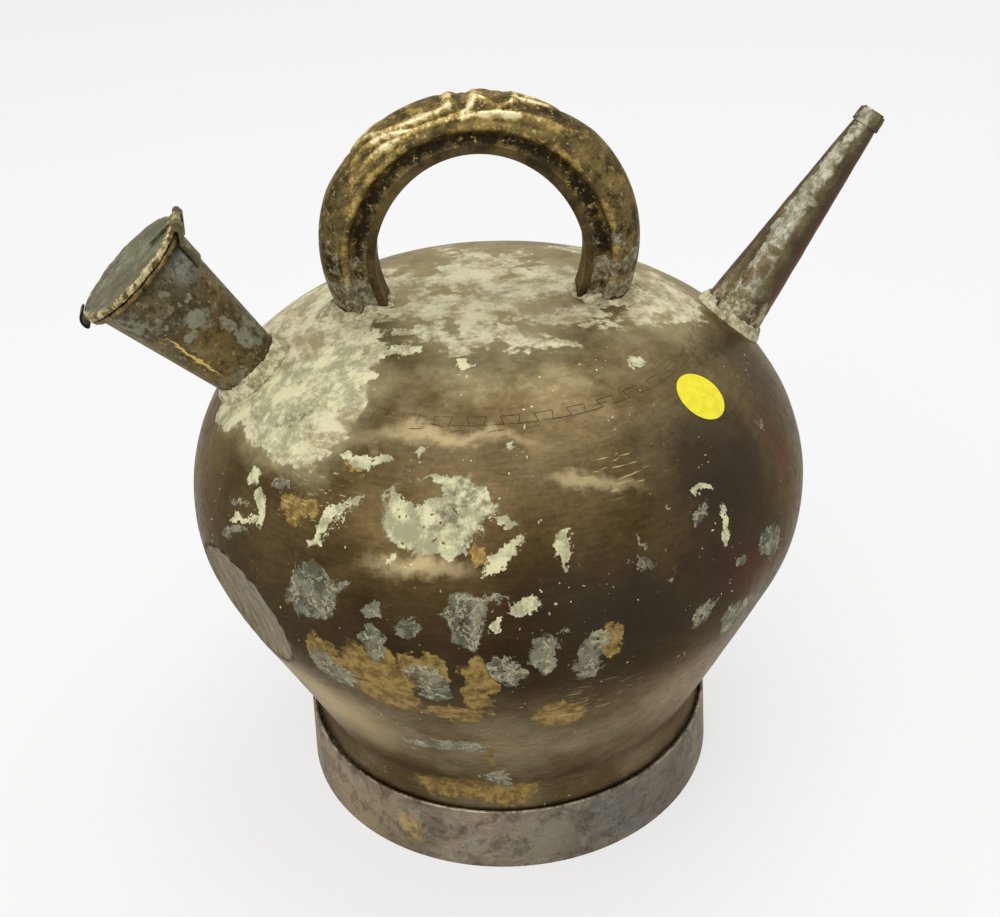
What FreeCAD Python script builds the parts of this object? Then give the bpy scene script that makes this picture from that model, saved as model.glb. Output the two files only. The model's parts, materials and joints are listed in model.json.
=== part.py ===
import FreeCAD, Part
import math
import os

from FreeCAD import Matrix, Placement, Rotation, Vector

# Brass water can: a raised globular body on a soldered foot ring, a wide filler with a
# hinged lid on one shoulder, a tapered pouring spout on the other and a cast ring handle.
# Lengths are millimetres. The origin is the centre of the foot on the standing plane,
# +Z is up, +X points at the pouring spout and -X at the filler.

os.makedirs("parts", exist_ok=True)

# Body and seam
base_radius = 89.5
base_height = 19.0
waist_height = 13.1
waist_arc_radius = 25.0
flank_lean = 25.5
flank_length = 83.5
belly_arc_radius = 77.8
belly_arc_turn = 78.0
shoulder_arc_radius = 111.1
shoulder_arc_turn = 31.9
sheet = 1.0
seam_elevation = 63.0
seam_band = 3.2
seam_tooth_depth = 3.4
seam_tooth_count = 43
seam_root_share = 0.42
seam_tip_share = 0.58
overrun = 20.0

# Bottom and foot
bottom_thickness = 1.2
bottom_rise = 6.0
bottom_flat_radius = 66.0
foot_height = 32.0
foot_bottom_radius = 98.0
foot_top_radius = 96.5
foot_wall = 1.5
foot_edge_bevel = 0.4
foot_solder_height = 5.0
foot_solder_drop = 5.5
foot_solder_hollow_share = 0.45

# Filler funnel
filler_root_elevation = 54.3
filler_elevation = 50.3
filler_length = 63.3
filler_root_radius = 14.75
filler_mouth_radius = 23.5
filler_wall = 0.9
rim_wire_radius = 1.2
filler_solder_width = 7.0
filler_solder_height = 4.5
solder_margin = 0.6
solder_sag_share = 0.33

# Pouring spout
spout_root_elevation = 50.3
spout_elevation = 55.6
spout_length = 104.6
spout_root_radius = 13.9
spout_tip_radius = 4.7
spout_wall = 0.9
spout_lap_width = 4.2
spout_lap_rise = 0.7
spout_lap_angle = -146.0
tip_ring_length = 6.5
tip_ring_wall = 0.9
tip_ring_setback = 0.8
spout_solder_width = 5.5
spout_solder_height = 4.0

# Lid and hinge
lid_lift = 0.3
lid_thickness = 0.9
lid_flange_depth = 2.6
lid_edge_round = 0.7
hinge_leaf = 1.0
knuckle_radius = 1.7
knuckle_gap = 0.3
knuckle_side_gap = 0.25
hinge_length = 19.0
lid_knuckle_length = 7.6
hinge_pin_radius = 0.9
pin_running_gap = 0.08
pin_head_radius = 1.5
pin_head_length = 0.8
lid_strap_length = 12.0
fixed_leaf_height = 13.0
fixed_leaf_half_angle = 19.0
leaf_seat_gap = 0.05
thumb_width = 9.0
thumb_reach = 2.9
thumb_drop = 5.6
thumb_wall = 1.1
thumb_bend_in_share = 0.33
thumb_bend_drop_share = 0.25
thumb_bend_wall_share = 0.7
thumb_end_in_share = 0.25

# Handle
handle_turn = -10.0
handle_shift = -3.05
handle_ring_radius = 54.5
handle_ring_rise = 18.65
handle_depth = 22.9
handle_width = 28.0
handle_wall = 1.2
handle_side_share = 0.10
handle_foot_share = 0.85
handle_start_angle = -34.0
handle_station_count = 11
strip_seam_gap = 0.05
relief_height = 2.2
relief_span = 62.0
relief_lobe_shares = [(0.52, 0.0, 1.30, 0.56, 0.0),
                      (0.12, -0.42, 0.80, 0.42, 26.0), (0.12, 0.42, 0.80, 0.42, -26.0),
                      (-0.16, -0.36, 0.72, 0.38, 24.0), (-0.16, 0.36, 0.72, 0.38, -24.0),
                      (-0.44, -0.28, 0.62, 0.34, 18.0), (-0.44, 0.28, 0.62, 0.34, -18.0)]
foot_mound_radius = 16.0
foot_mound_height = 3.4


def placed(shape, placement):
    """The shape moved to a placement, with the original left alone."""
    moved = shape.copy()
    moved.Placement = placement.multiply(moved.Placement)
    return moved


def save(shape, name):
    """One STEP file for one piece, named after it."""
    shape.exportStep("parts/" + name + ".step")


def revolved(edges):
    """A solid turned about the Z axis from a closed outline in the XZ plane."""
    face = Part.Face(Part.Wire(Part.__sortEdges__(edges)))
    return face.revolve(Vector(0, 0, 0), Vector(0, 0, 1), 360)


def outline(points):
    """Straight edges from point to point in the XZ plane, closed back to the first."""
    corners = [Vector(x, 0, z) for x, z in points]
    return [Part.makeLine(a, b) for a, b in zip(corners, corners[1:] + corners[:1])]


def skin_direction(elevation):
    """The direction out of the body's skin where it faces up by an elevation."""
    turn = math.radians(elevation)
    return Vector(math.cos(turn), 0, math.sin(turn))


# The outline rises upright from the base, curls out into a straight flank and runs on
# through three arcs, each tangent to the last
waist_low = Vector(base_radius, 0, base_height + waist_height)
waist_centre = waist_low + skin_direction(0) * waist_arc_radius
flank_start = waist_centre - skin_direction(-flank_lean) * waist_arc_radius
flank_rise = Vector(math.sin(math.radians(flank_lean)), 0, math.cos(math.radians(flank_lean)))
flank_end = flank_start + flank_rise * flank_length
belly_centre = flank_end - skin_direction(-flank_lean) * belly_arc_radius
shoulder_low = belly_arc_turn - flank_lean
shoulder_centre = belly_centre + skin_direction(shoulder_low) * (belly_arc_radius - shoulder_arc_radius)
dome_low = shoulder_low + shoulder_arc_turn
dome_edge = shoulder_centre + skin_direction(dome_low) * shoulder_arc_radius
dome_radius = dome_edge.x / math.cos(math.radians(dome_low))
dome_centre = Vector(0, 0, dome_edge.z - dome_radius * math.sin(math.radians(dome_low)))
body_top_height = dome_centre.z + dome_radius
belly_height = belly_centre.z
seam_low = seam_elevation - seam_band / 2
seam_high = seam_elevation + seam_band / 2


def skin_point(elevation):
    """The place on the belly's or the shoulder's skin that faces up by an elevation."""
    if elevation < shoulder_low:
        return belly_centre + skin_direction(elevation) * belly_arc_radius
    return shoulder_centre + skin_direction(elevation) * shoulder_arc_radius


def skin_arc(centre, radius, low, high):
    """An arc of the outline between two elevations."""
    middle = (low + high) / 2
    places = [centre + skin_direction(elevation) * radius for elevation in (low, middle, high)]
    return Part.Arc(places[0], places[1], places[2]).toShape()


def body_solid(inset, base_drop):
    """The filled body, its skin moved inwards by the inset and its base carried down."""
    flank_in = skin_direction(-flank_lean) * -inset
    end = Vector(0, 0, body_top_height - inset)
    below = Vector(base_radius - inset, 0, base_height - base_drop)
    centre = Vector(0, 0, below.z)
    waist = [waist_centre - skin_direction(-lean) * (waist_arc_radius + inset)
             for lean in (0, flank_lean / 2, flank_lean)]
    edges = [Part.makeLine(below, waist[0]),
             Part.Arc(waist[0], waist[1], waist[2]).toShape(),
             Part.makeLine(flank_start + flank_in, flank_end + flank_in),
             skin_arc(belly_centre, belly_arc_radius - inset, -flank_lean, shoulder_low),
             skin_arc(shoulder_centre, shoulder_arc_radius - inset, shoulder_low, seam_low),
             skin_arc(shoulder_centre, shoulder_arc_radius - inset, seam_low, seam_high),
             skin_arc(shoulder_centre, shoulder_arc_radius - inset, seam_high, dome_low),
             skin_arc(dome_centre, dome_radius - inset, dome_low, 90),
             Part.makeLine(end, centre), Part.makeLine(centre, below)]
    return revolved(edges)


def toothed_prism():
    """A prism whose outline is the cramped seam: a circle of small dovetail teeth."""
    seam_radius = skin_point(seam_elevation).x
    inner = seam_radius - seam_tooth_depth / 2
    outer = seam_radius + seam_tooth_depth / 2
    step = 2 * math.pi / seam_tooth_count
    corners = []
    for k in range(seam_tooth_count):
        middle = k * step
        for radius, half in ((inner, -seam_root_share), (outer, -seam_tip_share),
                             (outer, seam_tip_share), (inner, seam_root_share)):
            turn = middle + half * step / 2
            corners.append(Vector(radius * math.cos(turn), radius * math.sin(turn), belly_height))
    corners.append(corners[0])
    face = Part.Face(Part.makePolygon(corners))
    return face.extrude(Vector(0, 0, body_top_height - belly_height + overrun))


# Filled solids that the pieces are cut from
outer_solid = body_solid(0, 0)
inner_solid = body_solid(sheet, overrun)
body_shell = outer_solid.cut(inner_solid)

filler_turn = Rotation(Vector(0, 1, 0), filler_elevation - 90)
filler_axis = filler_turn.multVec(Vector(0, 0, 1))
filler_stand = skin_point(filler_root_elevation)
filler_root = Vector(-filler_stand.x, 0, filler_stand.z)
mouth = Placement(filler_root + filler_axis * filler_length, filler_turn)

spout_turn = Rotation(Vector(0, 1, 0), 90 - spout_elevation)
spout_root = skin_point(spout_root_elevation)
spout = Placement(spout_root, spout_turn)


# Filler: a rolled cone with a wire bead round its mouth, drawn from the mouth downwards
filler_slope = (filler_mouth_radius - filler_root_radius) / filler_length
filler_depth = filler_length + overrun
filler_low_radius = filler_mouth_radius - filler_slope * filler_depth
filler_outside = Part.makeCone(filler_low_radius, filler_mouth_radius, filler_depth, Vector(0, 0, -filler_depth))
bore_extra = filler_slope * overrun
filler_bore = Part.makeCone(filler_low_radius - filler_wall, filler_mouth_radius - filler_wall + bore_extra,
                            filler_depth + overrun, Vector(0, 0, -filler_depth))
filler_bore_placed = placed(filler_bore, mouth)
filler_outside_placed = placed(filler_outside, mouth)
rim_centre_radius = filler_mouth_radius + rim_wire_radius
rim_wire = Part.makeTorus(rim_centre_radius, rim_wire_radius, Vector(0, 0, -rim_wire_radius))
rim_wire = rim_wire.cut(filler_outside)

# Spout: a tapered tube rolled from sheet, with its lap seam standing along one side
spout_slope = (spout_root_radius - spout_tip_radius) / spout_length
spout_low_radius = spout_root_radius + spout_slope * overrun
spout_full = spout_length + overrun
spout_outside = Part.makeCone(spout_low_radius, spout_tip_radius, spout_full, Vector(0, 0, -overrun))
spout_bore = Part.makeCone(spout_low_radius - spout_wall, spout_tip_radius - spout_wall - spout_slope * overrun,
                           spout_full + overrun, Vector(0, 0, -overrun))
spout_bore_placed = placed(spout_bore, spout)
spout_outside_placed = placed(spout_outside, spout)

# Body sheets, parted along the cramped seam
prism = toothed_prism()
holes = filler_bore_placed.fuse(spout_bore_placed)
shoulder_dome = body_shell.common(prism).cut(holes)
lower_body = body_shell.cut(prism).cut(holes)
save(shoulder_dome, "shoulder_dome")
save(lower_body, "lower_body")

# Bottom: a disc lapped under the body's edge, dished upwards in the middle
dish_top = base_height + bottom_rise
dish_edges = [
    Part.makeLine(Vector(base_radius, 0, base_height), Vector(bottom_flat_radius, 0, base_height)),
    Part.makeLine(Vector(bottom_flat_radius, 0, base_height),
                  Vector(bottom_flat_radius - bottom_rise, 0, dish_top)),
    Part.makeLine(Vector(bottom_flat_radius - bottom_rise, 0, dish_top), Vector(0, 0, dish_top)),
    Part.makeLine(Vector(0, 0, dish_top), Vector(0, 0, dish_top - bottom_thickness)),
    Part.makeLine(Vector(0, 0, dish_top - bottom_thickness),
                  Vector(bottom_flat_radius - bottom_rise - bottom_thickness, 0, dish_top - bottom_thickness)),
    Part.makeLine(Vector(bottom_flat_radius - bottom_rise - bottom_thickness, 0, dish_top - bottom_thickness),
                  Vector(bottom_flat_radius - bottom_thickness, 0, base_height - bottom_thickness)),
    Part.makeLine(Vector(bottom_flat_radius - bottom_thickness, 0, base_height - bottom_thickness),
                  Vector(base_radius, 0, base_height - bottom_thickness)),
    Part.makeLine(Vector(base_radius, 0, base_height - bottom_thickness), Vector(base_radius, 0, base_height)),
]
save(revolved(dish_edges), "bottom_plate")

# Foot ring: a tapered band that the body stands inside
foot_band = revolved(outline([(foot_bottom_radius, 0), (foot_top_radius, foot_height),
                              (foot_top_radius - foot_wall, foot_height), (foot_bottom_radius - foot_wall, 0)]))
top_edges = [edge for edge in foot_band.Edges if edge.BoundBox.ZMin > foot_height / 2
             and edge.BoundBox.ZLength < foot_wall and edge.BoundBox.XLength > foot_top_radius]
foot_ring = foot_band.makeChamfer(foot_edge_bevel, top_edges)
save(foot_ring, "foot_ring")

# Solder run in the gap between the body and the foot ring
solder_top = foot_height - foot_solder_drop
solder_low = solder_top - foot_solder_height
ring_slope = (foot_bottom_radius - foot_top_radius) / foot_height
ring_inner_top = foot_bottom_radius - foot_wall - ring_slope * solder_top
ring_inner_low = foot_bottom_radius - foot_wall - ring_slope * solder_low
hollow = foot_solder_height * foot_solder_hollow_share
solder_inside = base_radius - overrun
solder_sunk = base_radius - solder_margin
solder_arc = Part.Arc(Vector(ring_inner_top, 0, solder_top),
                      Vector((ring_inner_top + base_radius) / 2, 0, solder_top - hollow),
                      Vector(solder_sunk, 0, solder_top)).toShape()
solder_edges = [
    solder_arc,
    Part.makeLine(Vector(solder_sunk, 0, solder_top), Vector(solder_inside, 0, solder_top)),
    Part.makeLine(Vector(solder_inside, 0, solder_top), Vector(solder_inside, 0, solder_low)),
    Part.makeLine(Vector(solder_inside, 0, solder_low), Vector(ring_inner_low, 0, solder_low)),
    Part.makeLine(Vector(ring_inner_low, 0, solder_low), Vector(ring_inner_top, 0, solder_top)),
]
foot_solder = revolved(solder_edges).cut(outer_solid)
save(foot_solder, "foot_solder")

# Filler pieces
filler_funnel = placed(filler_outside.cut(filler_bore), mouth).cut(outer_solid)
save(filler_funnel, "filler_funnel")
save(placed(rim_wire, mouth), "filler_rim_wire")


def solder_collar(elevation, side, pipe_radius, pipe_slope, width, height, pipe):
    """A concave ring of solder on the shoulder round a pipe's root, feathered out on the skin."""
    stand = skin_point(elevation)
    place = Placement(Vector(side * stand.x, 0, stand.z), Rotation(Vector(0, 1, 0), side * (90 - elevation)))
    top_radius = pipe_radius + pipe_slope * height + solder_margin
    low_radius = pipe_radius + width
    sag = belly_arc_radius - math.sqrt(belly_arc_radius ** 2 - low_radius ** 2)
    fall = sag + solder_margin
    middle = Vector(top_radius + (low_radius - top_radius) * solder_sag_share, 0,
                    (height - fall) * solder_sag_share)
    arc = Part.Arc(Vector(top_radius, 0, height), middle, Vector(low_radius, 0, -fall)).toShape()
    core = pipe_radius / 2
    edges = [
        arc,
        Part.makeLine(Vector(low_radius, 0, -fall), Vector(core, 0, -fall)),
        Part.makeLine(Vector(core, 0, -fall), Vector(core, 0, height)),
        Part.makeLine(Vector(core, 0, height), Vector(top_radius, 0, height)),
    ]
    return placed(revolved(edges), place).cut(outer_solid).cut(pipe)


filler_solder = solder_collar(filler_root_elevation, -1, filler_root_radius, filler_slope,
                              filler_solder_width, filler_solder_height, filler_outside_placed)
save(filler_solder, "filler_solder")

# Spout pieces
lap_half = spout_lap_width / 2


def lap_section(radius, height):
    """The lap's cross-section: a thin step standing on the tube's outside."""
    rise = radius + spout_lap_rise
    half_share = lap_half * radius / spout_root_radius
    corners = [Vector(radius - spout_wall / 2, -half_share, height), Vector(rise, -half_share, height),
               Vector(rise, half_share, height), Vector(radius - spout_wall / 2, half_share, height)]
    return Part.makePolygon(corners + corners[:1])


lap_top = spout_length - tip_ring_length - tip_ring_setback
lap_top_radius = spout_root_radius - spout_slope * lap_top
lap = Part.makeLoft([lap_section(spout_low_radius, -overrun), lap_section(lap_top_radius, lap_top)], True, True)
lap.rotate(Vector(0, 0, 0), Vector(0, 0, 1), spout_lap_angle)
spout_tube = spout_outside.fuse(lap).cut(spout_bore)
pouring_spout = placed(spout_tube, spout).cut(outer_solid)
save(pouring_spout, "pouring_spout")

ring_base = spout_length - tip_ring_length - tip_ring_setback
ring_low = spout_root_radius - spout_slope * ring_base
ring_high = spout_root_radius - spout_slope * (ring_base + tip_ring_length)
ring_blank = Part.makeCone(ring_low + tip_ring_wall, ring_high + tip_ring_wall, tip_ring_length,
                           Vector(0, 0, ring_base))
tip_ring = placed(ring_blank.cut(spout_outside), spout)
save(tip_ring, "spout_tip_ring")
spout_body = placed(spout_outside.fuse(lap), spout)
spout_solder = solder_collar(spout_root_elevation, 1, spout_root_radius, -spout_slope,
                             spout_solder_width, spout_solder_height, spout_body)
save(spout_solder, "spout_solder")

# Lid: a flat cap whose flange stands on the mouth's bead
lid_radius = rim_centre_radius + rim_wire_radius
lid_top = lid_lift + lid_flange_depth
lid_blank = Part.makeCylinder(lid_radius, lid_flange_depth, Vector(0, 0, lid_lift))
lid_top_edges = [edge for edge in lid_blank.Edges if edge.BoundBox.ZMin > lid_lift + lid_flange_depth / 2
                 and edge.BoundBox.XLength > lid_radius]
lid_blank = lid_blank.makeFillet(lid_edge_round, lid_top_edges)
lid_hollow = Part.makeCylinder(lid_radius - lid_thickness, lid_flange_depth - lid_thickness + overrun,
                               Vector(0, 0, lid_lift - overrun))
lid_plate = lid_blank.cut(lid_hollow)
save(placed(lid_plate, mouth), "lid_plate")

# Hinge: a knuckle on the lid's strap between two knuckles on the funnel's leaf
pin_x = lid_radius + knuckle_gap + knuckle_radius
pin_z = lid_top + hinge_leaf - knuckle_radius
across = Vector(0, 1, 0)


def hinge_rod(radius, low, high):
    """A round bar along the hinge axis between two places across the lid."""
    return Part.makeCylinder(radius, high - low, Vector(pin_x, low, pin_z), across)


def side_block(points, low, high):
    """A block with an outline in the XZ plane, between two places across the lid."""
    wire = Part.Wire(outline(points))
    face = Part.Face(wire)
    face.translate(Vector(0, low, 0))
    return face.extrude(Vector(0, high - low, 0))


half_lid_knuckle = lid_knuckle_length / 2
half_hinge = hinge_length / 2
fixed_start = half_lid_knuckle + knuckle_side_gap
pin_hole = hinge_rod(hinge_pin_radius + pin_running_gap, -hinge_length, hinge_length)
strap_end = lid_radius - lid_strap_length
strap_points = [(strap_end, lid_top), (strap_end, lid_top + hinge_leaf), (pin_x, lid_top + hinge_leaf),
                (pin_x, lid_top)]
lid_strap = side_block(strap_points, -half_lid_knuckle, half_lid_knuckle)
lid_knuckle = hinge_rod(knuckle_radius, -half_lid_knuckle, half_lid_knuckle)
lid_hinge_leaf = lid_strap.fuse(lid_knuckle).cut(pin_hole)
save(placed(lid_hinge_leaf, mouth), "lid_hinge_leaf")

seat_radius = filler_mouth_radius + leaf_seat_gap
leaf_high = -2 * rim_wire_radius
leaf_low = leaf_high - fixed_leaf_height


def seat_at(height):
    """Radius of the funnel's outside at a height below its mouth."""
    return seat_radius + filler_slope * height


leaf_face = Part.Face(Part.Wire(outline([(seat_at(leaf_low), leaf_low), (seat_at(leaf_high), leaf_high),
                                         (seat_at(leaf_high) + hinge_leaf, leaf_high),
                                         (seat_at(leaf_low) + hinge_leaf, leaf_low)])))
leaf_face.rotate(Vector(0, 0, 0), Vector(0, 0, 1), -fixed_leaf_half_angle)
leaf_plate = leaf_face.revolve(Vector(0, 0, 0), Vector(0, 0, 1), 2 * fixed_leaf_half_angle)
web_low = leaf_high - knuckle_radius
web_points = [(seat_at(web_low), web_low), (pin_x, pin_z - knuckle_radius / 2),
              (pin_x + knuckle_radius - hinge_leaf / 2, pin_z), (pin_x + knuckle_radius, pin_z),
              (pin_x + knuckle_radius, pin_z - knuckle_radius), (seat_at(web_low) + hinge_leaf, web_low - knuckle_radius)]
rim_keepout = Part.makeTorus(rim_centre_radius, rim_wire_radius + leaf_seat_gap, Vector(0, 0, -rim_wire_radius))
keepout = Part.makeCone(filler_low_radius + leaf_seat_gap, filler_mouth_radius + leaf_seat_gap, filler_depth,
                        Vector(0, 0, -filler_depth)).fuse(rim_keepout)
hinge_fixed_leaf = leaf_plate
for low, high in ((-half_hinge, -fixed_start), (fixed_start, half_hinge)):
    hinge_fixed_leaf = hinge_fixed_leaf.fuse(side_block(web_points, low, high))
    hinge_fixed_leaf = hinge_fixed_leaf.fuse(hinge_rod(knuckle_radius, low, high))
hinge_fixed_leaf = hinge_fixed_leaf.cut(keepout)
hinge_fixed_leaf = hinge_fixed_leaf.cut(hinge_rod(hinge_pin_radius, -hinge_length, hinge_length))
save(placed(hinge_fixed_leaf, mouth), "hinge_fixed_leaf")

pin_body = hinge_rod(hinge_pin_radius, -half_hinge, half_hinge)
pin_head_low = hinge_rod(pin_head_radius, -half_hinge - pin_head_length, -half_hinge)
pin_head_high = hinge_rod(pin_head_radius, half_hinge, half_hinge + pin_head_length)
hinge_pin = pin_body.fuse(pin_head_low).fuse(pin_head_high)
save(placed(hinge_pin, mouth), "hinge_pin")

# Thumb lift: a curled lip on the lid's free edge
lip_start = -lid_radius + lid_edge_round
lip_out = -lid_radius - thumb_reach
lip_low = lid_top - thumb_drop


def lip_arc(offset):
    """The lip's curl, outside or inside the middle of its sheet."""
    start = Vector(lip_start, 0, lid_top + offset)
    bend = offset * thumb_bend_wall_share
    middle = Vector(lip_out + thumb_reach * thumb_bend_in_share - bend, 0,
                    lid_top - thumb_drop * thumb_bend_drop_share + bend)
    end = Vector(lip_out + thumb_reach * thumb_end_in_share - offset, 0, lip_low)
    return Part.Arc(start, middle, end).toShape()


upper = lip_arc(thumb_wall)
lower = lip_arc(0)
lip_edges = [upper, lower,
             Part.makeLine(upper.Vertexes[0].Point, lower.Vertexes[0].Point),
             Part.makeLine(upper.Vertexes[-1].Point, lower.Vertexes[-1].Point)]
lip_face = Part.Face(Part.Wire(Part.__sortEdges__(lip_edges)))
lip_face.translate(Vector(0, -thumb_width / 2, 0))
thumb_lift = lip_face.extrude(Vector(0, thumb_width, 0)).cut(lid_blank)
save(placed(thumb_lift, mouth), "thumb_lift")

# Handle: a moulded shell bent in a ring and closed inside by a narrow strip
section_crown_shares = (0.60, 0.47)
section_bead_shares = (0.525, 0.50)
section_neck_shares = (0.45, 0.40)
section_groove_shares = (0.31, 0.315)
section_lip_shares = (0.155, 0.33)
section_middle_share = 0.5

handle_centre = Vector(handle_shift, 0, body_top_height + handle_ring_rise)


def ring_place(angle):
    """The handle section's place: its X runs outwards from the ring's centre, its Y across."""
    turn = math.radians(angle)
    outward = Vector(math.cos(turn), 0, math.sin(turn))
    middle = handle_centre + outward * handle_ring_radius
    axes = Matrix(outward.x, 0, -math.sin(turn), middle.x,
                  0, 1, 0, 0,
                  outward.z, 0, math.cos(turn), middle.z,
                  0, 0, 0, 1)
    return Placement(axes)


def taper(angle):
    """How full the section is round the ring: whole on top, fuller at the sides, slim at the feet."""
    away = abs(angle - 90) / (90 - handle_start_angle)
    swell = handle_side_share * math.sin(math.pi * away) ** 2
    return 1 + swell - (1 - handle_foot_share) * away ** 4


def section_point(shares, inset, side, size):
    """A point of the moulded section from its shares, pushed inwards by the wall."""
    out_share, half_share = shares
    x = (out_share - section_middle_share) * handle_depth * size
    y = half_share * handle_width * size - inset
    return Vector(x, side * y, 0)


def moulded_side(sign, inset, size):
    """The section's points on one side, from the inner lip to the edge of the crown."""
    return [section_point(shares, inset, sign, size) for shares in
            (section_lip_shares, section_groove_shares, section_neck_shares,
             section_bead_shares, section_crown_shares)]


def moulded_edges(size):
    """Groove, bead, crown, bead and groove, from one inner lip round to the other."""
    left = moulded_side(1, 0, size)
    right = moulded_side(-1, 0, size)
    return [Part.Arc(left[0], left[1], left[2]).toShape(),
            Part.Arc(left[2], left[3], left[4]).toShape(),
            Part.Arc(left[4], Vector(handle_depth * size / 2, 0, 0), right[4]).toShape(),
            Part.Arc(right[4], right[3], right[2]).toShape(),
            Part.Arc(right[2], right[1], right[0]).toShape()]


def shell_section(angle):
    """The outside of the moulded shell at one place, closed across its lips."""
    size = taper(angle)
    edges = moulded_edges(size)
    edges.append(Part.makeLine(moulded_side(-1, 0, size)[0], moulded_side(1, 0, size)[0]))
    return placed(Part.Wire(edges), ring_place(angle))


def hollow_section(angle):
    """The hollow inside the shell at one place, running out between its lips."""
    size = taper(angle)
    left = moulded_side(1, handle_wall, size)
    right = moulded_side(-1, handle_wall, size)
    crown_under = Vector(handle_depth * size / 2 - handle_wall, 0, 0)
    out = Vector(-handle_wall, 0, 0)
    edges = [Part.Arc(left[0], left[1], left[2]).toShape(), Part.makeLine(left[2], left[4]),
             Part.Arc(left[4], crown_under, right[4]).toShape(), Part.makeLine(right[4], right[2]),
             Part.Arc(right[2], right[1], right[0]).toShape(), Part.makeLine(right[0], right[0] + out),
             Part.makeLine(right[0] + out, left[0] + out), Part.makeLine(left[0] + out, left[0])]
    return placed(Part.Wire(edges), ring_place(angle))


def filled_section(angle):
    """The outside of the whole handle at one place, used to cut its solder mounds."""
    size = taper(angle)
    low = -handle_depth * size / 2
    edges = moulded_edges(size)
    left = moulded_side(1, 0, size)[0]
    right = moulded_side(-1, 0, size)[0]
    edges.append(Part.makeLine(right, Vector(low, right.y, 0)))
    edges.append(Part.makeLine(Vector(low, right.y, 0), Vector(low, left.y, 0)))
    edges.append(Part.makeLine(Vector(low, left.y, 0), left))
    return placed(Part.Wire(edges), ring_place(angle))


def strip_section(angle):
    """The closing strip: a shallow channel whose sides butt against the shell's lips."""
    size = taper(angle)
    low = -handle_depth * size / 2
    high = (section_lip_shares[0] - section_middle_share) * handle_depth * size - strip_seam_gap
    half = section_lip_shares[1] * handle_width * size
    wall = handle_wall
    corners = [Vector(low, -half, 0), Vector(high, -half, 0), Vector(high, wall - half, 0),
               Vector(low + wall, wall - half, 0), Vector(low + wall, half - wall, 0),
               Vector(high, half - wall, 0), Vector(high, half, 0), Vector(low, half, 0)]
    return placed(Part.makePolygon(corners + corners[:1]), ring_place(angle))


angle_step = (180 - 2 * handle_start_angle) / (handle_station_count - 1)
stations = [handle_start_angle + k * angle_step for k in range(handle_station_count)]
handle_place = Placement(Vector(0, 0, 0), Rotation(Vector(0, 0, 1), handle_turn))


def swept(section):
    """A smooth solid through the section at every station round the ring."""
    return Part.makeLoft([section(angle) for angle in stations], True, False)


def crown_place(angle, across_share):
    """A place on the crown's skin: X out of the skin, Y across the handle, Z along the ring."""
    size = taper(angle)
    half_chord = section_crown_shares[1] * handle_width * size
    rise = (1 - section_crown_shares[0]) * handle_depth * size
    crown_radius = (half_chord ** 2 + rise ** 2) / (2 * rise)
    tilt = math.asin(across_share * half_chord / crown_radius)
    centre = handle_depth * size / 2 - crown_radius
    skin = Placement(Vector(centre, 0, 0), Rotation(Vector(0, 0, 1), math.degrees(tilt)))
    return ring_place(angle).multiply(skin).multiply(Placement(Vector(crown_radius, 0, 0), Rotation()))


def relief_lobe(angle, across_share, slant, length, thickness):
    """One lobe of the leaf: a spindle with pointed ends, sunk until it stands a little proud."""
    half = thickness / 2
    tip = Vector(0, 0, length / 2)
    edges = [Part.Arc(tip * -1, Vector(half, 0, 0), tip).toShape(), Part.makeLine(tip, tip * -1)]
    spindle = revolved(edges)
    spindle.translate(Vector(relief_height - half, 0, 0))
    spindle.rotate(Vector(0, 0, 0), Vector(1, 0, 0), slant)
    return placed(spindle, crown_place(angle, across_share))


# The moulded shell carries the leaf on its crown, and the strip closes it from lip to lip
shell_outside = swept(shell_section)
for along, across, length, width, slant in relief_lobe_shares:
    lobe = relief_lobe(90 + along * relief_span, across, slant, length * handle_width, width * handle_width)
    shell_outside = shell_outside.fuse(lobe)
handle_shell = placed(shell_outside.cut(swept(hollow_section)), handle_place).cut(outer_solid)
handle_filled = placed(swept(filled_section), handle_place)
handle_strip = placed(swept(strip_section), handle_place).cut(outer_solid)
save(handle_shell, "handle_outer_shell")
save(handle_strip, "handle_inner_strip")

# Solder mounds round the two handle feet: caps of a sphere that stand on the dome
foot_drop = handle_centre.z - body_top_height
foot_reach = math.sqrt(handle_ring_radius ** 2 - foot_drop ** 2)
mound_sphere_radius = (foot_mound_radius ** 2 + foot_mound_height ** 2) / (2 * foot_mound_height)
for side, name in ((-1, "handle_solder_filler_side"), (1, "handle_solder_spout_side")):
    foot_x = handle_shift + side * foot_reach
    foot_z = dome_centre.z + math.sqrt(dome_radius ** 2 - foot_x ** 2)
    stand = Vector(foot_x, 0, foot_z)
    out = (stand - dome_centre).normalize()
    mound = Part.makeSphere(mound_sphere_radius, stand + out * (foot_mound_height - mound_sphere_radius))
    mound = placed(mound, handle_place).cut(outer_solid).cut(handle_filled)
    save(mound, name)
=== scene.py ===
import json
import math
from functools import partial

import bpy
import numpy as np
from mathutils import Matrix, Vector, noise as random_field
from mathutils.bvhtree import BVHTree

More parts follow.
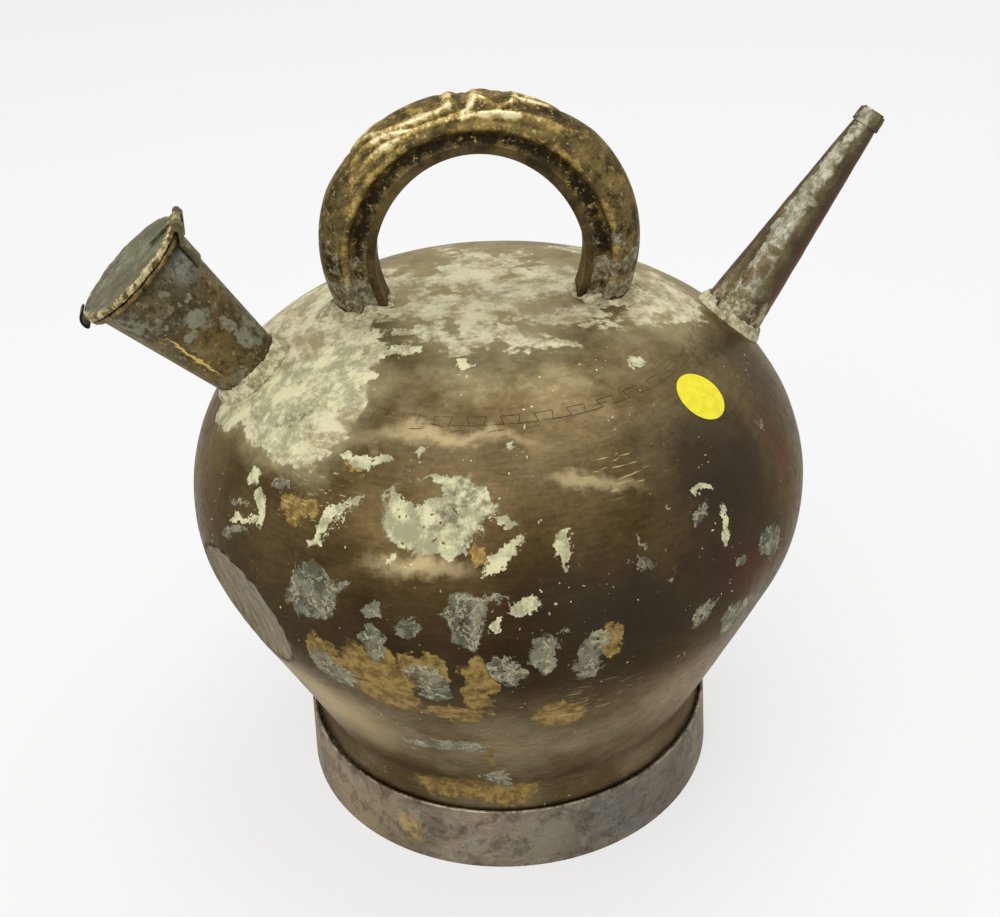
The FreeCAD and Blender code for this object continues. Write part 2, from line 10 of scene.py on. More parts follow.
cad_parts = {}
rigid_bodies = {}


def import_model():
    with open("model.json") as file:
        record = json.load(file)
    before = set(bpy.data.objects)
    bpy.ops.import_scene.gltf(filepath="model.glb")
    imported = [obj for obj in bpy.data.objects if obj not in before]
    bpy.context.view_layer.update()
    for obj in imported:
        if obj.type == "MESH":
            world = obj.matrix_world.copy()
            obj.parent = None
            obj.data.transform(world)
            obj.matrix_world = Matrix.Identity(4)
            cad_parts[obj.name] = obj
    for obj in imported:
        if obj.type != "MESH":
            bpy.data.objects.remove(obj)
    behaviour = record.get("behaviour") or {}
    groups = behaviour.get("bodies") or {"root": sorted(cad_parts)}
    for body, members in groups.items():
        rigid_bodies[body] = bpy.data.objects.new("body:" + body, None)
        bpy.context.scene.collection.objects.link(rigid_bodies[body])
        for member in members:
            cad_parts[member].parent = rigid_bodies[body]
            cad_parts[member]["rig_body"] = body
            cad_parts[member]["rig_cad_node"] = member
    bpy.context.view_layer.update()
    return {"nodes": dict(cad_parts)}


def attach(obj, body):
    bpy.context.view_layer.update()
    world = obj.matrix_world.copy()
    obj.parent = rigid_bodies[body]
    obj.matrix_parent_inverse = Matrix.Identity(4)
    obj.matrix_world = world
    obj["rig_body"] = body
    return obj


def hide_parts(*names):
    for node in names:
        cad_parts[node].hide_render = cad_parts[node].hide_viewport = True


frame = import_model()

mm = 0.001

# Body sheets: the lower body and the dome, two sheets of brass a millimetre thick, raised by
# hammer and cramped together along small dovetail teeth, then hammered flush and soldered.
# Long use has dented them: a sharp flat low on the filler side and a soft hollow in front.
base_radius = 89.5 * mm
base_height = 19.0 * mm
tuck_height = 25.0 * mm
waist_arc = 22.6 * mm
waist_flare = 20.0
flank_lean = 25.5
flank_low = 49.0 * mm
flank_end = Vector((127.88, 118.23)) * mm
belly_arc = 77.8 * mm
shoulder_low = 52.5
shoulder_arc = 111.1 * mm
dome_low = 84.4
sheet = 1.0 * mm
edge_wear = 0.22 * mm
flare_lip_low = Vector((1.6, 3.2)) * mm
flare_lip_high = Vector((0.2, 1.3)) * mm
seam_elevation = 63.0
seam_depth = 3.4 * mm
tooth_count = 43
tooth_columns = 8
tooth_half_share = 0.25
tooth_root_share = 0.21
tooth_tip_share = 0.29
filler_root = Vector((-102.2 * mm, 0, 215.5 * mm))
filler_axis = Vector((-math.cos(math.radians(50.3)), 0, math.sin(math.radians(50.3))))
filler_length = 63.3 * mm
filler_root_bore = 13.85 * mm
filler_mouth_bore = 22.6 * mm
spout_root = Vector((107.4 * mm, 0, 211.6 * mm))
spout_axis = Vector((math.cos(math.radians(55.6)), 0, math.sin(math.radians(55.6))))
spout_length = 104.6 * mm
spout_root_bore = 13.0 * mm
spout_tip_bore = 3.8 * mm
flat_place = Vector((-116.9 * mm, -57.9 * mm, 141.5 * mm))
flat_facing = Vector((-0.884, -0.416, -0.214)).normalized()
flat_reach = 36 * mm
flat_hollow = 1.5 * mm
soft_dents = [((-35, -110, 200), 40, 2.6), ((-5, -133, 168), 26, 1.4), ((88, -92, 128), 26, 2.2),
              ((-96, -92, 160), 24, 1.2), ((40, -122, 178), 30, 1.2)]
waist_steps, flank_steps, belly_steps, shoulder_steps = 9, 32, 46, 8
seam_steps, dome_steps, crown_steps = 2, 17, 20
weld = 0.01 * mm
ring_tolerance, phase_tolerance = 0.2 * mm, 0.02
dent_falloff = 2.2


def direction(elevation):
    """Out of the skin where it faces up by an elevation, in the plane of the outline."""
    turn = math.radians(elevation)
    return Vector((math.cos(turn), math.sin(turn)))


def arc(centre, radius, low, high, steps):
    """Points of an arc between two elevations, without the first."""
    return [centre + direction(low + (high - low) * k / steps) * radius for k in range(1, steps + 1)]


def alone(piece):
    """Makes a piece the only one that operators act on."""
    bpy.ops.object.select_all(action="DESELECT")
    piece.select_set(True)
    bpy.context.view_layer.objects.active = piece


def begun(name, operator, **settings):
    """A new piece from one of the basic shapes."""
    bpy.ops.object.select_all(action="DESELECT")
    operator(**settings)
    piece = bpy.context.object
    piece.name = name
    bpy.ops.object.transform_apply(location=True, rotation=True, scale=True)
    return piece


def edit_all(piece, operator, **settings):
    """Runs a mesh operator over the whole of a piece."""
    alone(piece)
    bpy.ops.object.mode_set(mode="EDIT")
    bpy.ops.mesh.select_all(action="SELECT")
    operator(**settings)
    bpy.ops.object.mode_set(mode="OBJECT")


def spun(name, outline, columns, centre=(0, 0, 0), axis=(0, 0, 1), turn=2 * math.pi):
    """A skin turned about an axis from an outline, drawn by pulling a point along it."""
    piece = begun(name, bpy.ops.mesh.primitive_plane_add, size=mm, location=outline[0])
    bpy.ops.object.mode_set(mode="EDIT")
    bpy.ops.mesh.merge(type="CENTER")
    for here, there in zip(outline, outline[1:]):
        bpy.ops.mesh.extrude_region_move(TRANSFORM_OT_translate={"value": there - here})
    bpy.ops.mesh.select_all(action="SELECT")
    bpy.ops.mesh.spin(steps=columns, angle=turn, center=centre, axis=axis)
    bpy.ops.object.mode_set(mode="OBJECT")
    edit_all(piece, bpy.ops.mesh.remove_doubles, threshold=weld)
    edit_all(piece, bpy.ops.mesh.normals_make_consistent, inside=False)
    return piece


def points_of(piece):
    """Where a piece's vertices are, as rows."""
    flat = np.empty(len(piece.data.vertices) * 3)
    piece.data.vertices.foreach_get("co", flat)
    return flat.reshape(-1, 3)


def move_points(piece, points):
    """Puts a piece's vertices at new places."""
    piece.data.vertices.foreach_set("co", points.ravel())
    piece.data.update()


def modify(piece, kind, **settings):
    """Adds a modifier and applies it."""
    alone(piece)
    modifier = piece.modifiers.new(kind.lower(), kind)
    for name, value in settings.items():
        setattr(modifier, name, value)
    bpy.ops.object.modifier_apply(modifier=modifier.name)


def uneven(piece, size, height, mid):
    """Gives a piece the slight unevenness of handwork, along its normals."""
    texture = bpy.data.textures.new(piece.name + "_unevenness", "CLOUDS")
    texture.noise_scale = size
    texture.noise_depth = 2
    modify(piece, "DISPLACE", texture=texture, texture_coords="LOCAL", strength=height, mid_level=mid)


def pipe(name, start, axis, length, low, high, sides=72):
    """A plain cone along an axis, used to cut a bore."""
    return begun(name, bpy.ops.mesh.primitive_cone_add, vertices=sides, radius1=low, radius2=high,
                 depth=length, location=start + axis * length / 2,
                 rotation=axis.to_track_quat("Z", "Y").to_euler())


def cut(piece, cutter):
    """Cuts a piece with another."""
    modify(piece, "BOOLEAN", operation="DIFFERENCE", solver="MANIFOLD", object=cutter)


def dress(piece, material, body, nodes, smooth_angle):
    """Gives a finished piece its shading, material and body, and hides the nodes it stands for."""
    alone(piece)
    bpy.ops.object.shade_smooth_by_angle(angle=math.radians(smooth_angle))
    piece.data.materials.clear()
    piece.data.materials.append(material)
    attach(piece, body)
    if nodes:
        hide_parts(*nodes)


flank_run = (flank_end.y - flank_low) / math.cos(math.radians(flank_lean))
flank_start = flank_end - direction(90 - flank_lean) * flank_run
waist_centre = flank_start - direction(180 - flank_lean) * waist_arc
flare_end = waist_centre + direction(180 + waist_flare) * waist_arc
belly_centre = flank_end - direction(-flank_lean) * belly_arc
shoulder_centre = belly_centre + direction(shoulder_low) * (belly_arc - shoulder_arc)
dome_edge = shoulder_centre + direction(dome_low) * shoulder_arc
dome_arc = dome_edge.x / math.cos(math.radians(dome_low))
dome_centre = dome_edge - direction(dome_low) * dome_arc
seam_radius = (shoulder_centre + direction(seam_elevation) * shoulder_arc).x
seam_outer = seam_radius + seam_depth / 2
seam_inner = seam_radius - seam_depth / 2
seam_start, seam_end = (math.degrees(math.acos((edge - shoulder_centre.x) / shoulder_arc))
                        for edge in (seam_outer, seam_inner))

profile = [Vector((base_radius, base_height)), Vector((base_radius, tuck_height)),
           flare_end - flare_lip_low, flare_end - flare_lip_high, flare_end]
profile += arc(waist_centre, waist_arc, 180 + waist_flare, 180 - flank_lean, waist_steps)
profile += [flank_start + (flank_end - flank_start) * k / flank_steps for k in range(1, flank_steps + 1)]
profile += arc(belly_centre, belly_arc, -flank_lean, shoulder_low, belly_steps)
profile += arc(shoulder_centre, shoulder_arc, shoulder_low, seam_start, shoulder_steps)
profile += arc(shoulder_centre, shoulder_arc, seam_start, seam_end, seam_steps)
profile += arc(shoulder_centre, shoulder_arc, seam_end, dome_low, dome_steps)
profile += arc(dome_centre, dome_arc, dome_low, 90, crown_steps)
profile = [Vector((max(x, 0), 0, z)) for x, z in profile]
profile[-1].x = 0
lower_sheet = spun("lower_body_sheet", profile, tooth_count * tooth_columns)

# The teeth widen towards their tips, as dovetails do
tooth_pitch = 2 * math.pi / tooth_count
points = points_of(lower_sheet)
radius = np.hypot(points[:, 0], points[:, 1])
teeth = np.arctan2(points[:, 1], points[:, 0]) / tooth_pitch
phase = teeth - np.round(teeth)
for ring, half in ((seam_inner, tooth_root_share), (seam_outer, tooth_tip_share)):
    near_ring = (abs(radius - ring) < ring_tolerance) & (points[:, 2] > flank_end.y)
    corner = near_ring & (abs(abs(phase) - tooth_half_share) < phase_tolerance)
    turn = (np.round(teeth) + np.sign(phase) * half)[corner] * tooth_pitch
    points[corner, 0] = ring * np.cos(turn)
    points[corner, 1] = ring * np.sin(turn)
move_points(lower_sheet, points)
centres = np.array([face.center for face in lower_sheet.data.polygons])
middle = np.hypot(centres[:, 0], centres[:, 1])
teeth = np.arctan2(centres[:, 1], centres[:, 0]) / tooth_pitch
on_tooth = abs(teeth - np.round(teeth)) < tooth_half_share
above = centres[:, 2] > flank_end.y
in_dome = above & ((middle < seam_inner) | ((middle < seam_outer) & on_tooth))

# Dents: a flat with a sharp crease, and soft hollows pressed in along the skin's own normal
uneven(lower_sheet, size=55 * mm, height=1.3 * mm, mid=0.75)
points = points_of(lower_sheet)
flat_middle, flat_out = np.array(flat_place), np.array(flat_facing)
out = (points - flat_middle) @ flat_out
beside = points - flat_middle - out[:, None] * flat_out
hollow_share = np.clip(1 - (np.linalg.norm(beside, axis=1) / flat_reach) ** 2, 0, 1)
points -= np.where(out > 0, out + flat_hollow * hollow_share, 0)[:, None] * flat_out
pressed = lower_sheet.data.attributes.new("pressed", "FLOAT", "POINT")
pressed.data.foreach_set("value", np.clip(out / mm, -3, 3).astype(np.float32))
for place, reach, depth in soft_dents:
    place = np.array(place) * mm
    inwards = -place + np.array([0, 0, belly_centre.y])
    inwards /= np.linalg.norm(inwards)
    away = np.linalg.norm(points - place, axis=1) / (reach * mm)
    points += (depth * mm * np.exp(-dent_falloff * away ** 2))[:, None] * inwards
move_points(lower_sheet, points)
bpy.context.view_layer.update()
skin = BVHTree.FromObject(lower_sheet, bpy.context.evaluated_depsgraph_get())

lower_sheet.data.polygons.foreach_set("select", in_dome)
alone(lower_sheet)
bpy.context.tool_settings.mesh_select_mode = (False, False, True)
bpy.ops.object.mode_set(mode="EDIT")
bpy.ops.mesh.separate(type="SELECTED")
bpy.ops.object.mode_set(mode="OBJECT")
bpy.context.tool_settings.mesh_select_mode = (True, False, False)
dome_sheet = [o for o in bpy.context.selected_objects if o != lower_sheet][0]
dome_sheet.name = "shoulder_dome_sheet"
filler_slope = (filler_mouth_bore - filler_root_bore) / filler_length
spout_slope = (spout_tip_bore - spout_root_bore) / spout_length
overrun = 20 * mm
for part in (lower_sheet, dome_sheet):
    modify(part, "SOLIDIFY", thickness=sheet, offset=-1, use_even_offset=True)
    modify(part, "BEVEL", width=edge_wear, segments=2, limit_method="ANGLE", angle_limit=math.radians(60))
for name, root, axis, bore, slope in (
        ("filler_bore", filler_root, filler_axis, filler_root_bore, filler_slope),
        ("spout_bore", spout_root, spout_axis, spout_root_bore, spout_slope)):
    low, high = bore - slope * overrun, bore + slope * overrun
    cutter = pipe(name, root - axis * overrun, axis, 2 * overrun, low, high)
    cut(lower_sheet, cutter)
    cut(dome_sheet, cutter)
    bpy.data.objects.remove(cutter)


def tone(red, green, blue):
    """A screen colour, 0 to 255, as the shader counts it."""
    channels = [c / 255 for c in (red, green, blue)]
    return tuple(c / 12.92 if c <= 0.04045 else ((c + 0.055) / 1.055) ** 2.4 for c in channels) + (1,)


def join(node, inputs):
    """Sets a node's inputs, and links those that are given as another node's output."""
    for name, value in inputs.items():
        if isinstance(value, bpy.types.NodeSocket):
            node.id_data.links.new(value, node.inputs[name])
        else:
            node.inputs[name].default_value = value


def add(kind, inputs, tree=None, **settings):
    """A shader node with its settings and inputs, in the tree of its first linked input."""
    if tree is None:
        tree = next(value.id_data for value in inputs.values() if isinstance(value, bpy.types.NodeSocket))
    made = tree.nodes.new("ShaderNode" + kind)
    for name, value in settings.items():
        setattr(made, name, value)
    join(made, inputs)
    return made


def noise(where, scale, detail=4, roughness=0.6):
    """Soft noise from 0 to 1 over a place."""
    settings = {"Vector": where, "Scale": scale, "Detail": detail, "Roughness": roughness}
    return add("TexNoise", settings).outputs["Fac"]


def ramp(value, low, high, start=0.0, end=1.0):
    """A smooth rise from one value to another."""
    limits = {"Value": value, "From Min": low, "From Max": high, "To Min": start, "To Max": end}
    return add("MapRange", limits, interpolation_type="SMOOTHSTEP").outputs[0]


def patches(where, scale, detail, roughness, low, high):
    """Soft noise made into patches, 0 below one of its values and 1 above another."""
    return ramp(noise(where, scale, detail, roughness), low, high)


def sums(operation, first, second=0.0):
    """One step of arithmetic."""
    return add("Math", {0: first, 1: second}, operation=operation).outputs[0]


operations = ("ADD", "SUBTRACT", "MULTIPLY", "MAXIMUM", "ABSOLUTE")
plus, less, times, larger, positive = (partial(sums, operation) for operation in operations)


def blend(share, first, second, kind="MIX"):
    """One colour laid over another."""
    return add("Mix", {0: share, 6: first, 7: second}, data_type="RGBA", blend_type=kind).outputs[2]


def laid(share, strength, under, over):
    """A colour laid over another by a share of its strength."""
    return blend(times(share, strength), under, over)


def stretch(where, scale, turn=(0, 0, 0)):
    """A place turned and stretched along each axis."""
    return add("Mapping", {"Vector": where, "Scale": scale, "Rotation": turn}).outputs[0]


def part_of(where, axis):
    """One of the three measures of a place."""
    return add("SeparateXYZ", {0: where}).outputs[axis]


def effect(name, takes, gives):
    """An empty node group with named inputs and outputs."""
    tree = bpy.data.node_groups.new(name, "ShaderNodeTree")
    kinds = {"value": "NodeSocketFloat", "colour": "NodeSocketColor", "place": "NodeSocketVector"}
    for label, kind, value in takes:
        made = tree.interface.new_socket(label, in_out="INPUT", socket_type=kinds[kind])
        if value is not None:
            made.default_value = value
    for label, kind in gives:
        tree.interface.new_socket(label, in_out="OUTPUT", socket_type=kinds[kind])
    return tree, tree.nodes.new("NodeGroupInput").outputs, tree.nodes.new("NodeGroupOutput")


def use(group, inputs):
    """An effect placed in a material with its own values; gives its outputs."""
    return add("Group", inputs, node_tree=group).outputs


def shaken_place(where, scale, reach):
    """A place shaken a little, which makes the edges of marks ragged."""
    return use(ragged_place, {"Where": where, "Scale": scale, "Reach": reach})["Where"]


# Effect: old brass, its tone clouded and streaked with dark pits
old_brass, given, wanted = effect(
    "old_brass",
    [("Where", "place", None), ("Light", "colour", None), ("Dark", "colour", None),
     ("Clouds", "value", 16.0), ("Streak", "place", (1, 1, 9)), ("Streaks", "value", 0.5),
     ("Pits", "value", 0.3)],
    [("Color", "colour"), ("Grain", "value")])
where = given["Where"]
fine = noise(where, 420, 2, 0.7)
streak = noise(stretch(where, given["Streak"]), 95, 3, 0.65)
clouds = ramp(noise(where, given["Clouds"], 4, 0.62), 0.36, 0.66)
shade = plus(times(ramp(streak, 0.3, 0.7, -0.5, 0.5), given["Streaks"]), ramp(fine, 0.25, 0.75, 0.86, 1.14))
grey_shade = add("CombineColor", {0: shade, 1: shade, 2: shade}).outputs[0]
body_tone = blend(1.0, blend(clouds, given["Light"], given["Dark"]), grey_shade, "MULTIPLY")
dots = add("TexVoronoi", {"Vector": where, "Scale": 520, "Randomness": 1.0}).outputs["Distance"]
pitted = times(times(ramp(dots, 0.30, 0.16), patches(where, 60, 3, 0.6, 0.5, 0.62)), given["Pits"])
join(wanted, {"Color": blend(pitted, body_tone, tone(34, 30, 22)), "Grain": fine})

# Effect: how near a place is to the middle of an oval mark, 1 there and 0 at the size given
mark_spot, given, wanted = effect(
    "mark_spot",
    [("Where", "place", None), ("Place", "place", None), ("Turn", "place", None),
     ("Size", "place", (1, 1, 1))],
    [("Nearness", "value")])
inside = add("Mapping", {"Vector": given["Where"], "Location": given["Place"], "Rotation": given["Turn"],
                         "Scale": given["Size"]}, vector_type="TEXTURE").outputs[0]
join(wanted, {"Nearness": add("TexGradient", {"Vector": inside}, gradient_type="SPHERICAL").outputs["Fac"]})

# Effect: a place pushed about by noise
ragged_place, given, wanted = effect(
    "ragged_place",
    [("Where", "place", None), ("Scale", "value", 130.0), ("Reach", "value", 0.004)],
    [("Where", "place")])
spots = {"Vector": given["Where"], "Scale": given["Scale"], "Detail": 4.0, "Roughness": 0.68}
spots = add("TexNoise", spots).outputs["Color"]
centred = add("VectorMath", {0: spots, 1: (0.5, 0.5, 0.5)}, operation="SUBTRACT").outputs[0]
push = add("VectorMath", {0: centred, "Scale": times(given["Reach"], 5.0)}, operation="SCALE").outputs[0]
join(wanted, {"Where": add("Mapping", {"Vector": given["Where"], "Location": push}).outputs[0]})

# Effect: a film that covers a surface in ragged patches
patchy, given, wanted = effect(
    "patchy",
    [("Where", "place", None), ("Scale", "value", 50.0), ("Cover", "value", 0.5), ("Edge", "value", 0.04)],
    [("Mask", "value")])
spread = noise(given["Where"], given["Scale"], 5, 0.68)
start = less(1.0, given["Cover"])
join(wanted, {"Mask": ramp(spread, less(start, given["Edge"]), plus(start, given["Edge"]))})


def material(name):
    """A new material, its shader and the place in the piece's own measure."""
    made = bpy.data.materials.new(name)
    made.use_nodes = True
    tree = made.node_tree
    return made, tree.nodes["Principled BSDF"], add("TexCoord", {}, tree).outputs["Object"]


def finish_shader(shader, colour, roughness, height, metallic, relief=0.3):
    """Joins a material's colour, roughness, fine relief and metal to its shader."""
    bump = add("Bump", {"Height": height, "Distance": relief * mm, "Strength": 1.0}).outputs[0]
    join(shader, {"Base Color": colour, "Roughness": roughness, "Normal": bump, "Metallic": metallic})
    if metallic:
        shader.inputs["Specular Tint"].default_value = tone(222, 208, 184)


def flat_frame(along, up, turn=0.0):
    """The turn of what lies along one direction and up another, slanted by some degrees."""
    return Matrix((along, up, along.cross(up))).transposed() @ Matrix.Rotation(math.radians(turn), 3, "Z")


def skin_frame(around, height, turn):
    """The place on the skin and the turn of a mark there, from its bearing, height and slant."""
    nearest = min(range(1, len(profile) - 1), key=lambda k: abs(profile[k].z - height * mm))
    run = (profile[nearest + 1] - profile[nearest - 1]).normalized()
    bearing = math.radians(around)
    outwards = Vector((math.cos(bearing), math.sin(bearing), 0))
    place = outwards * profile[nearest].x + Vector((0, 0, height * mm))
    along = Vector((-math.sin(bearing), math.cos(bearing), 0))
    up = outwards * run.x + Vector((0, 0, run.z))
    return place, flat_frame(along, up, turn)


least_mark_depth = 12


def marks(where, spots, frame_at=skin_frame):
    """The distance from the nearest of a list of oval marks, 1 at its edge and 2 at most."""
    most = 0.0
    for around, height, half_along, half_across, turn in spots:
        place, frame_here = frame_at(around, height, turn)
        size = Vector((half_along, half_across, max(half_along, half_across, least_mark_depth))) * 2 * mm
        near = use(mark_spot, {"Where": where, "Place": place, "Turn": frame_here.to_euler(), "Size": size})
        most = larger(most, near["Nearness"])
    return times(less(1.0, most), 2.0)


# Marks on the skin: bearing and height of the middle, half length, half width, slant
lime_spots = [(-112, 203, 20.8, 15.7, 2), (-127, 214, 11.4, 2.4, 8), (-116, 217, 3.3, 0.9, -77),
              (-100, 200, 3.6, 1.8, 7), (-100, 190, 9.7, 3.4, 49), (-108, 190, 4.4, 2.2, 2),
              (-97, 218, 3.1, 2.4, 84), (-150, 210, 13.8, 7.4, 13), (-158, 219, 19.9, 14.4, 11),
              (-154, 227, 17.7, 16.0, 65), (-140, 234, 12.0, 4.0, 36), (-142, 227, 11.9, 5.7, 81),
              (-172, 206, 13.4, 10.6, 14), (-110, 234, 3.7, 2.3, -77), (-145, 236, 10.4, 3.2, 32),
              (-130, 196, 13.1, 3.2, 53), (-152, 198, 4.1, 3.2, -16), (-148, 189, 7.8, 3.6, -63),
              (-152, 182, 8.5, 1.6, 24), (-89, 189, 5.5, 4.1, -81), (-97, 170, 5.1, 3.6, -7),
              (-101, 164, 3.9, 1.2, 42), (-61, 195, 5.0, 1.9, -7), (-58, 180, 7.3, 2.8, 69),
              (-54, 229, 5.4, 3.9, 5), (-142, 208, 2.5, 1.6, 8), (-72, 235, 9.8, 3.5, -31),
              (-119, 187, 2.0, 1.8, 24)]
hole_spots = [(-116, 209, 8.2, 5.0, 3), (-129, 195.5, 8.5, 0.7, 53)]
scuff_spots = [(-106, 208, 10, 7, -20), (-110, 200, 8, 6, 10), (-150, 216, 9, 3, 30)]
grey_spots = [(-133, 167, 15.3, 11.4, 54), (-91, 161, 1.9, 1.6, -30), (-94, 149, 9.3, 5.6, -87),
              (-100, 143, 7.5, 6.9, -17), (-86, 147, 10.9, 5.6, 64), (-106, 166, 10.6, 8.0, 84),
              (-102, 175, 7.2, 2.3, -1), (-113, 135, 11.6, 6.1, -72), (-121, 147, 4.9, 3.4, 46),
              (-115, 162, 5.2, 3.8, 76), (-76, 178, 4.3, 1.9, -18), (-76, 185, 2.6, 1.2, 78),
              (-38, 198, 4.3, 2.3, -11), (-63, 188, 3.8, 2.9, 64), (-71, 170, 1.7, 1.3, -74),
              (-66, 150, 5.5, 5.3, -79), (-47, 159, 11.7, 6.2, -42), (-56, 164, 3.7, 2.3, -42),
              (-56, 135, 10.1, 8.1, -13), (-127, 175, 3.5, 2.3, 21), (-131, 130, 10.4, 8.5, -56),
              (-121, 154, 6.9, 4.6, 69), (-121, 167, 3.6, 3.0, 50), (-153, 175, 11.0, 2.8, 25),
              (-154, 187, 6.5, 1.2, 24), (-144, 199, 3.4, 2.8, -22), (-115, 83, 20.0, 5.5, 10),
              (-103, 53, 10.8, 3.9, 87)]
bare_spots = [(-131, 140, 9, 8, 0), (-122, 131, 15, 21, 8), (-105, 135, 5.5, 19, 0), (-110, 114, 15, 6, 0),
              (-113, 143, 9, 8, 0), (-105, 77, 3, 15, 0), (-130, 212, 5.0, 2.8, 9),
              (-83, 152, 7.6, 5.6, -64), (-147, 204, 5.9, 2.4, 18), (-138, 196, 9.6, 5.3, 15),
              (-104, 189, 5.1, 2.9, 89), (-110, 42, 28, 7.0, 0), (-91, 110, 12.0, 10.1, -13)]
# Painted reflections: soft dark zones over the front right, and dark red ones within them
painted_dark_reflection_spots = [(-54, 196, 34, 28, -1), (-55, 160, 40, 26, -37), (-80, 164, 36, 20, -22),
              (-22, 200, 26, 40, 0)]
painted_red_reflection_spots = [(-52, 152, 30, 14, -37), (-34, 172, 12, 36, 10)]
# Painted highlights: pale golden bands where the dented skin would catch the lamps
painted_highlight_spots = [(-114, 221, 31, 4, 3), (-114, 184.5, 19, 4, 0), (-82, 207, 17, 3.5, -13),
               (-140, 92, 24, 32, 30)]
scratch_spots = [(-86, 118, 24, 12, 12), (-136, 200, 18, 12, 10), (-77, 208, 12, 8, 0)]

haze_start, film_start, film_full = 226 * mm, 232 * mm, 240 * mm


def tinted(colour, where, tints, frame_at=skin_frame):
    """Lays soft tints over a colour: each has marks, where it starts and is full, strength and tone."""
    for spots, low, high, strength, over in tints:
        colour = laid(ramp(marks(where, spots, frame_at), low, high), strength, colour, over)
    return colour


body_brass, shader, where = material("body_brass")
across, front = add("SeparateXYZ", {0: where}).outputs[:2]
shaken = shaken_place(shaken_place(where, 62.0, 0.0042), 230.0, 0.0015)
wandering = shaken_place(where, 45.0, 0.005)
wavy_height = part_of(wandering, 2)
# Painted shading by height, laid into the base colour: the belly darkened, and the lower flank and top
# lightened where the metal would reflect the table and the lamps
height_shading_ramp = add("ValToRGB", {0: ramp(wavy_height, 20 * mm, 240 * mm)})
painted_shading_bands = [(0.0, tone(116, 102, 76)), (0.16, tone(138, 124, 96)), (0.33, tone(120, 106, 80)),
         (0.43, tone(84, 69, 44)), (0.52, tone(58, 44, 23)), (0.62, tone(54, 40, 20)),
         (0.72, tone(66, 51, 27)), (0.82, tone(84, 67, 38)), (0.91, tone(96, 79, 49)),
         (1.0, tone(120, 105, 73))]
height_shading_ramp.color_ramp.elements.remove(height_shading_ramp.color_ramp.elements[0])
height_shading_ramp.color_ramp.elements[0].position, height_shading_ramp.color_ramp.elements[0].color = painted_shading_bands[0]
for position, colour in painted_shading_bands[1:]:
    height_shading_ramp.color_ramp.elements.new(position).color = colour
painted_height_shade = height_shading_ramp.outputs[0]
darker_height_shade = blend(1.0, painted_height_shade, tone(186, 176, 150), "MULTIPLY")
brass = use(old_brass, {"Where": where, "Light": painted_height_shade, "Dark": darker_height_shade, "Clouds": 26.0, "Streaks": 0.30,
                        "Pits": 0.2})
# Laid over the brass: painted highlights, painted dark reflections and painted red reflections
colour = tinted(brass["Color"], wandering, [
    (painted_highlight_spots, 1.5, 0.1, 0.62, tone(204, 184, 138)),
    (painted_dark_reflection_spots, 1.5, 0.3, 0.72, tone(44, 39, 34)),
    (painted_red_reflection_spots, 1.4, 0.2, 0.66, tone(72, 22, 17))])
grain = noise(where, 240, 3, 0.7)

# Bare brass, rubbed or scratched
rubbed = use(patchy, {"Where": stretch(where, (1, 1, 2.2)), "Scale": 110.0, "Cover": 0.64, "Edge": 0.10})
bare = times(ramp(marks(shaken, bare_spots), 1.06, 0.90), rubbed["Mask"])
gilt = blend(ramp(grain, 0.36, 0.64), tone(166, 138, 78), tone(114, 92, 48))
colour = laid(bare, 0.9, colour, gilt)
thin = patches(stretch(where, (0.35, 1, 5.0), (0.35, -0.5, 0.0)), 260, 2, 0.5, 0.62, 0.68)
thin = times(thin, ramp(marks(wandering, scratch_spots), 1.3, 0.6))
colour = laid(thin, 0.7, colour, tone(202, 180, 122))

# Grey splashes with crusty cream ridges
grey = times(ramp(marks(shaken, grey_spots), 1.06, 0.90), patches(where, 300, 2, 0.75, 0.30, 0.40))
veins = positive(less(noise(shaken, 120, 2, 0.6), 0.5))
grey_tone = blend(patches(where, 130, 3, 0.7, 0.38, 0.62), tone(136, 134, 112), tone(84, 84, 68))
grey_tone = laid(ramp(veins, 0.030, 0.008), 0.8, grey_tone, tone(196, 190, 152))
colour = laid(grey, 0.86, colour, grey_tone)

# Behind, splashes of both kinds are taken to lie as thinly as on the right of the front
behind = ramp(front, 0.0, 30 * mm)
splashes = noise(shaken, 30, 2, 0.55)
colour = laid(times(behind, ramp(splashes, 0.665, 0.685)), 0.86, colour, grey_tone)
lime_behind = times(behind, ramp(splashes, 0.715, 0.73))

# Pale film over the dome, lower on the filler side, and flakes of the same below it
sinks = plus(ramp(across, -42 * mm, -94 * mm, 0.0, 29 * mm), ramp(across, 45 * mm, 88 * mm, 0.0, 11 * mm))
film_height = plus(wavy_height, sinks)
cover = ramp(film_height, film_start, film_full, 0.22, 0.82)
stretched = stretch(where, (1, 1, 2.5))
film = use(patchy, {"Where": stretched, "Scale": 34.0, "Cover": cover, "Edge": 0.09})["Mask"]
haze = ramp(film_height, haze_start, film_full, 0.0, 0.7)
lime = times(ramp(marks(shaken, lime_spots), 1.05, 0.93), ramp(marks(shaken, hole_spots), 0.94, 1.05))
lime = larger(times(lime, patches(where, 330, 2, 0.78, 0.28, 0.36)), lime_behind)
specks = times(patches(where, 520, 1, 0.5, 0.735, 0.765), patches(where, 40, 2, 0.6, 0.45, 0.6))
scuffed = times(ramp(marks(shaken, scuff_spots), 1.1, 0.7), ramp(grain, 0.38, 0.6))
lime_tone = blend(patches(where, 95, 4, 0.72, 0.40, 0.60), tone(226, 222, 178), tone(166, 163, 128))
lime_tone = laid(scuffed, 0.8, lime_tone, tone(112, 106, 82))
film_mottle = patches(stretch(where, (1, 1, 3)), 70, 4, 0.72, 0.38, 0.62)
film_tone = blend(film_mottle, tone(228, 222, 184), tone(158, 146, 106))
colour = laid(haze, 1.0, colour, tone(176, 166, 124))
colour = laid(film, 0.85, colour, film_tone)
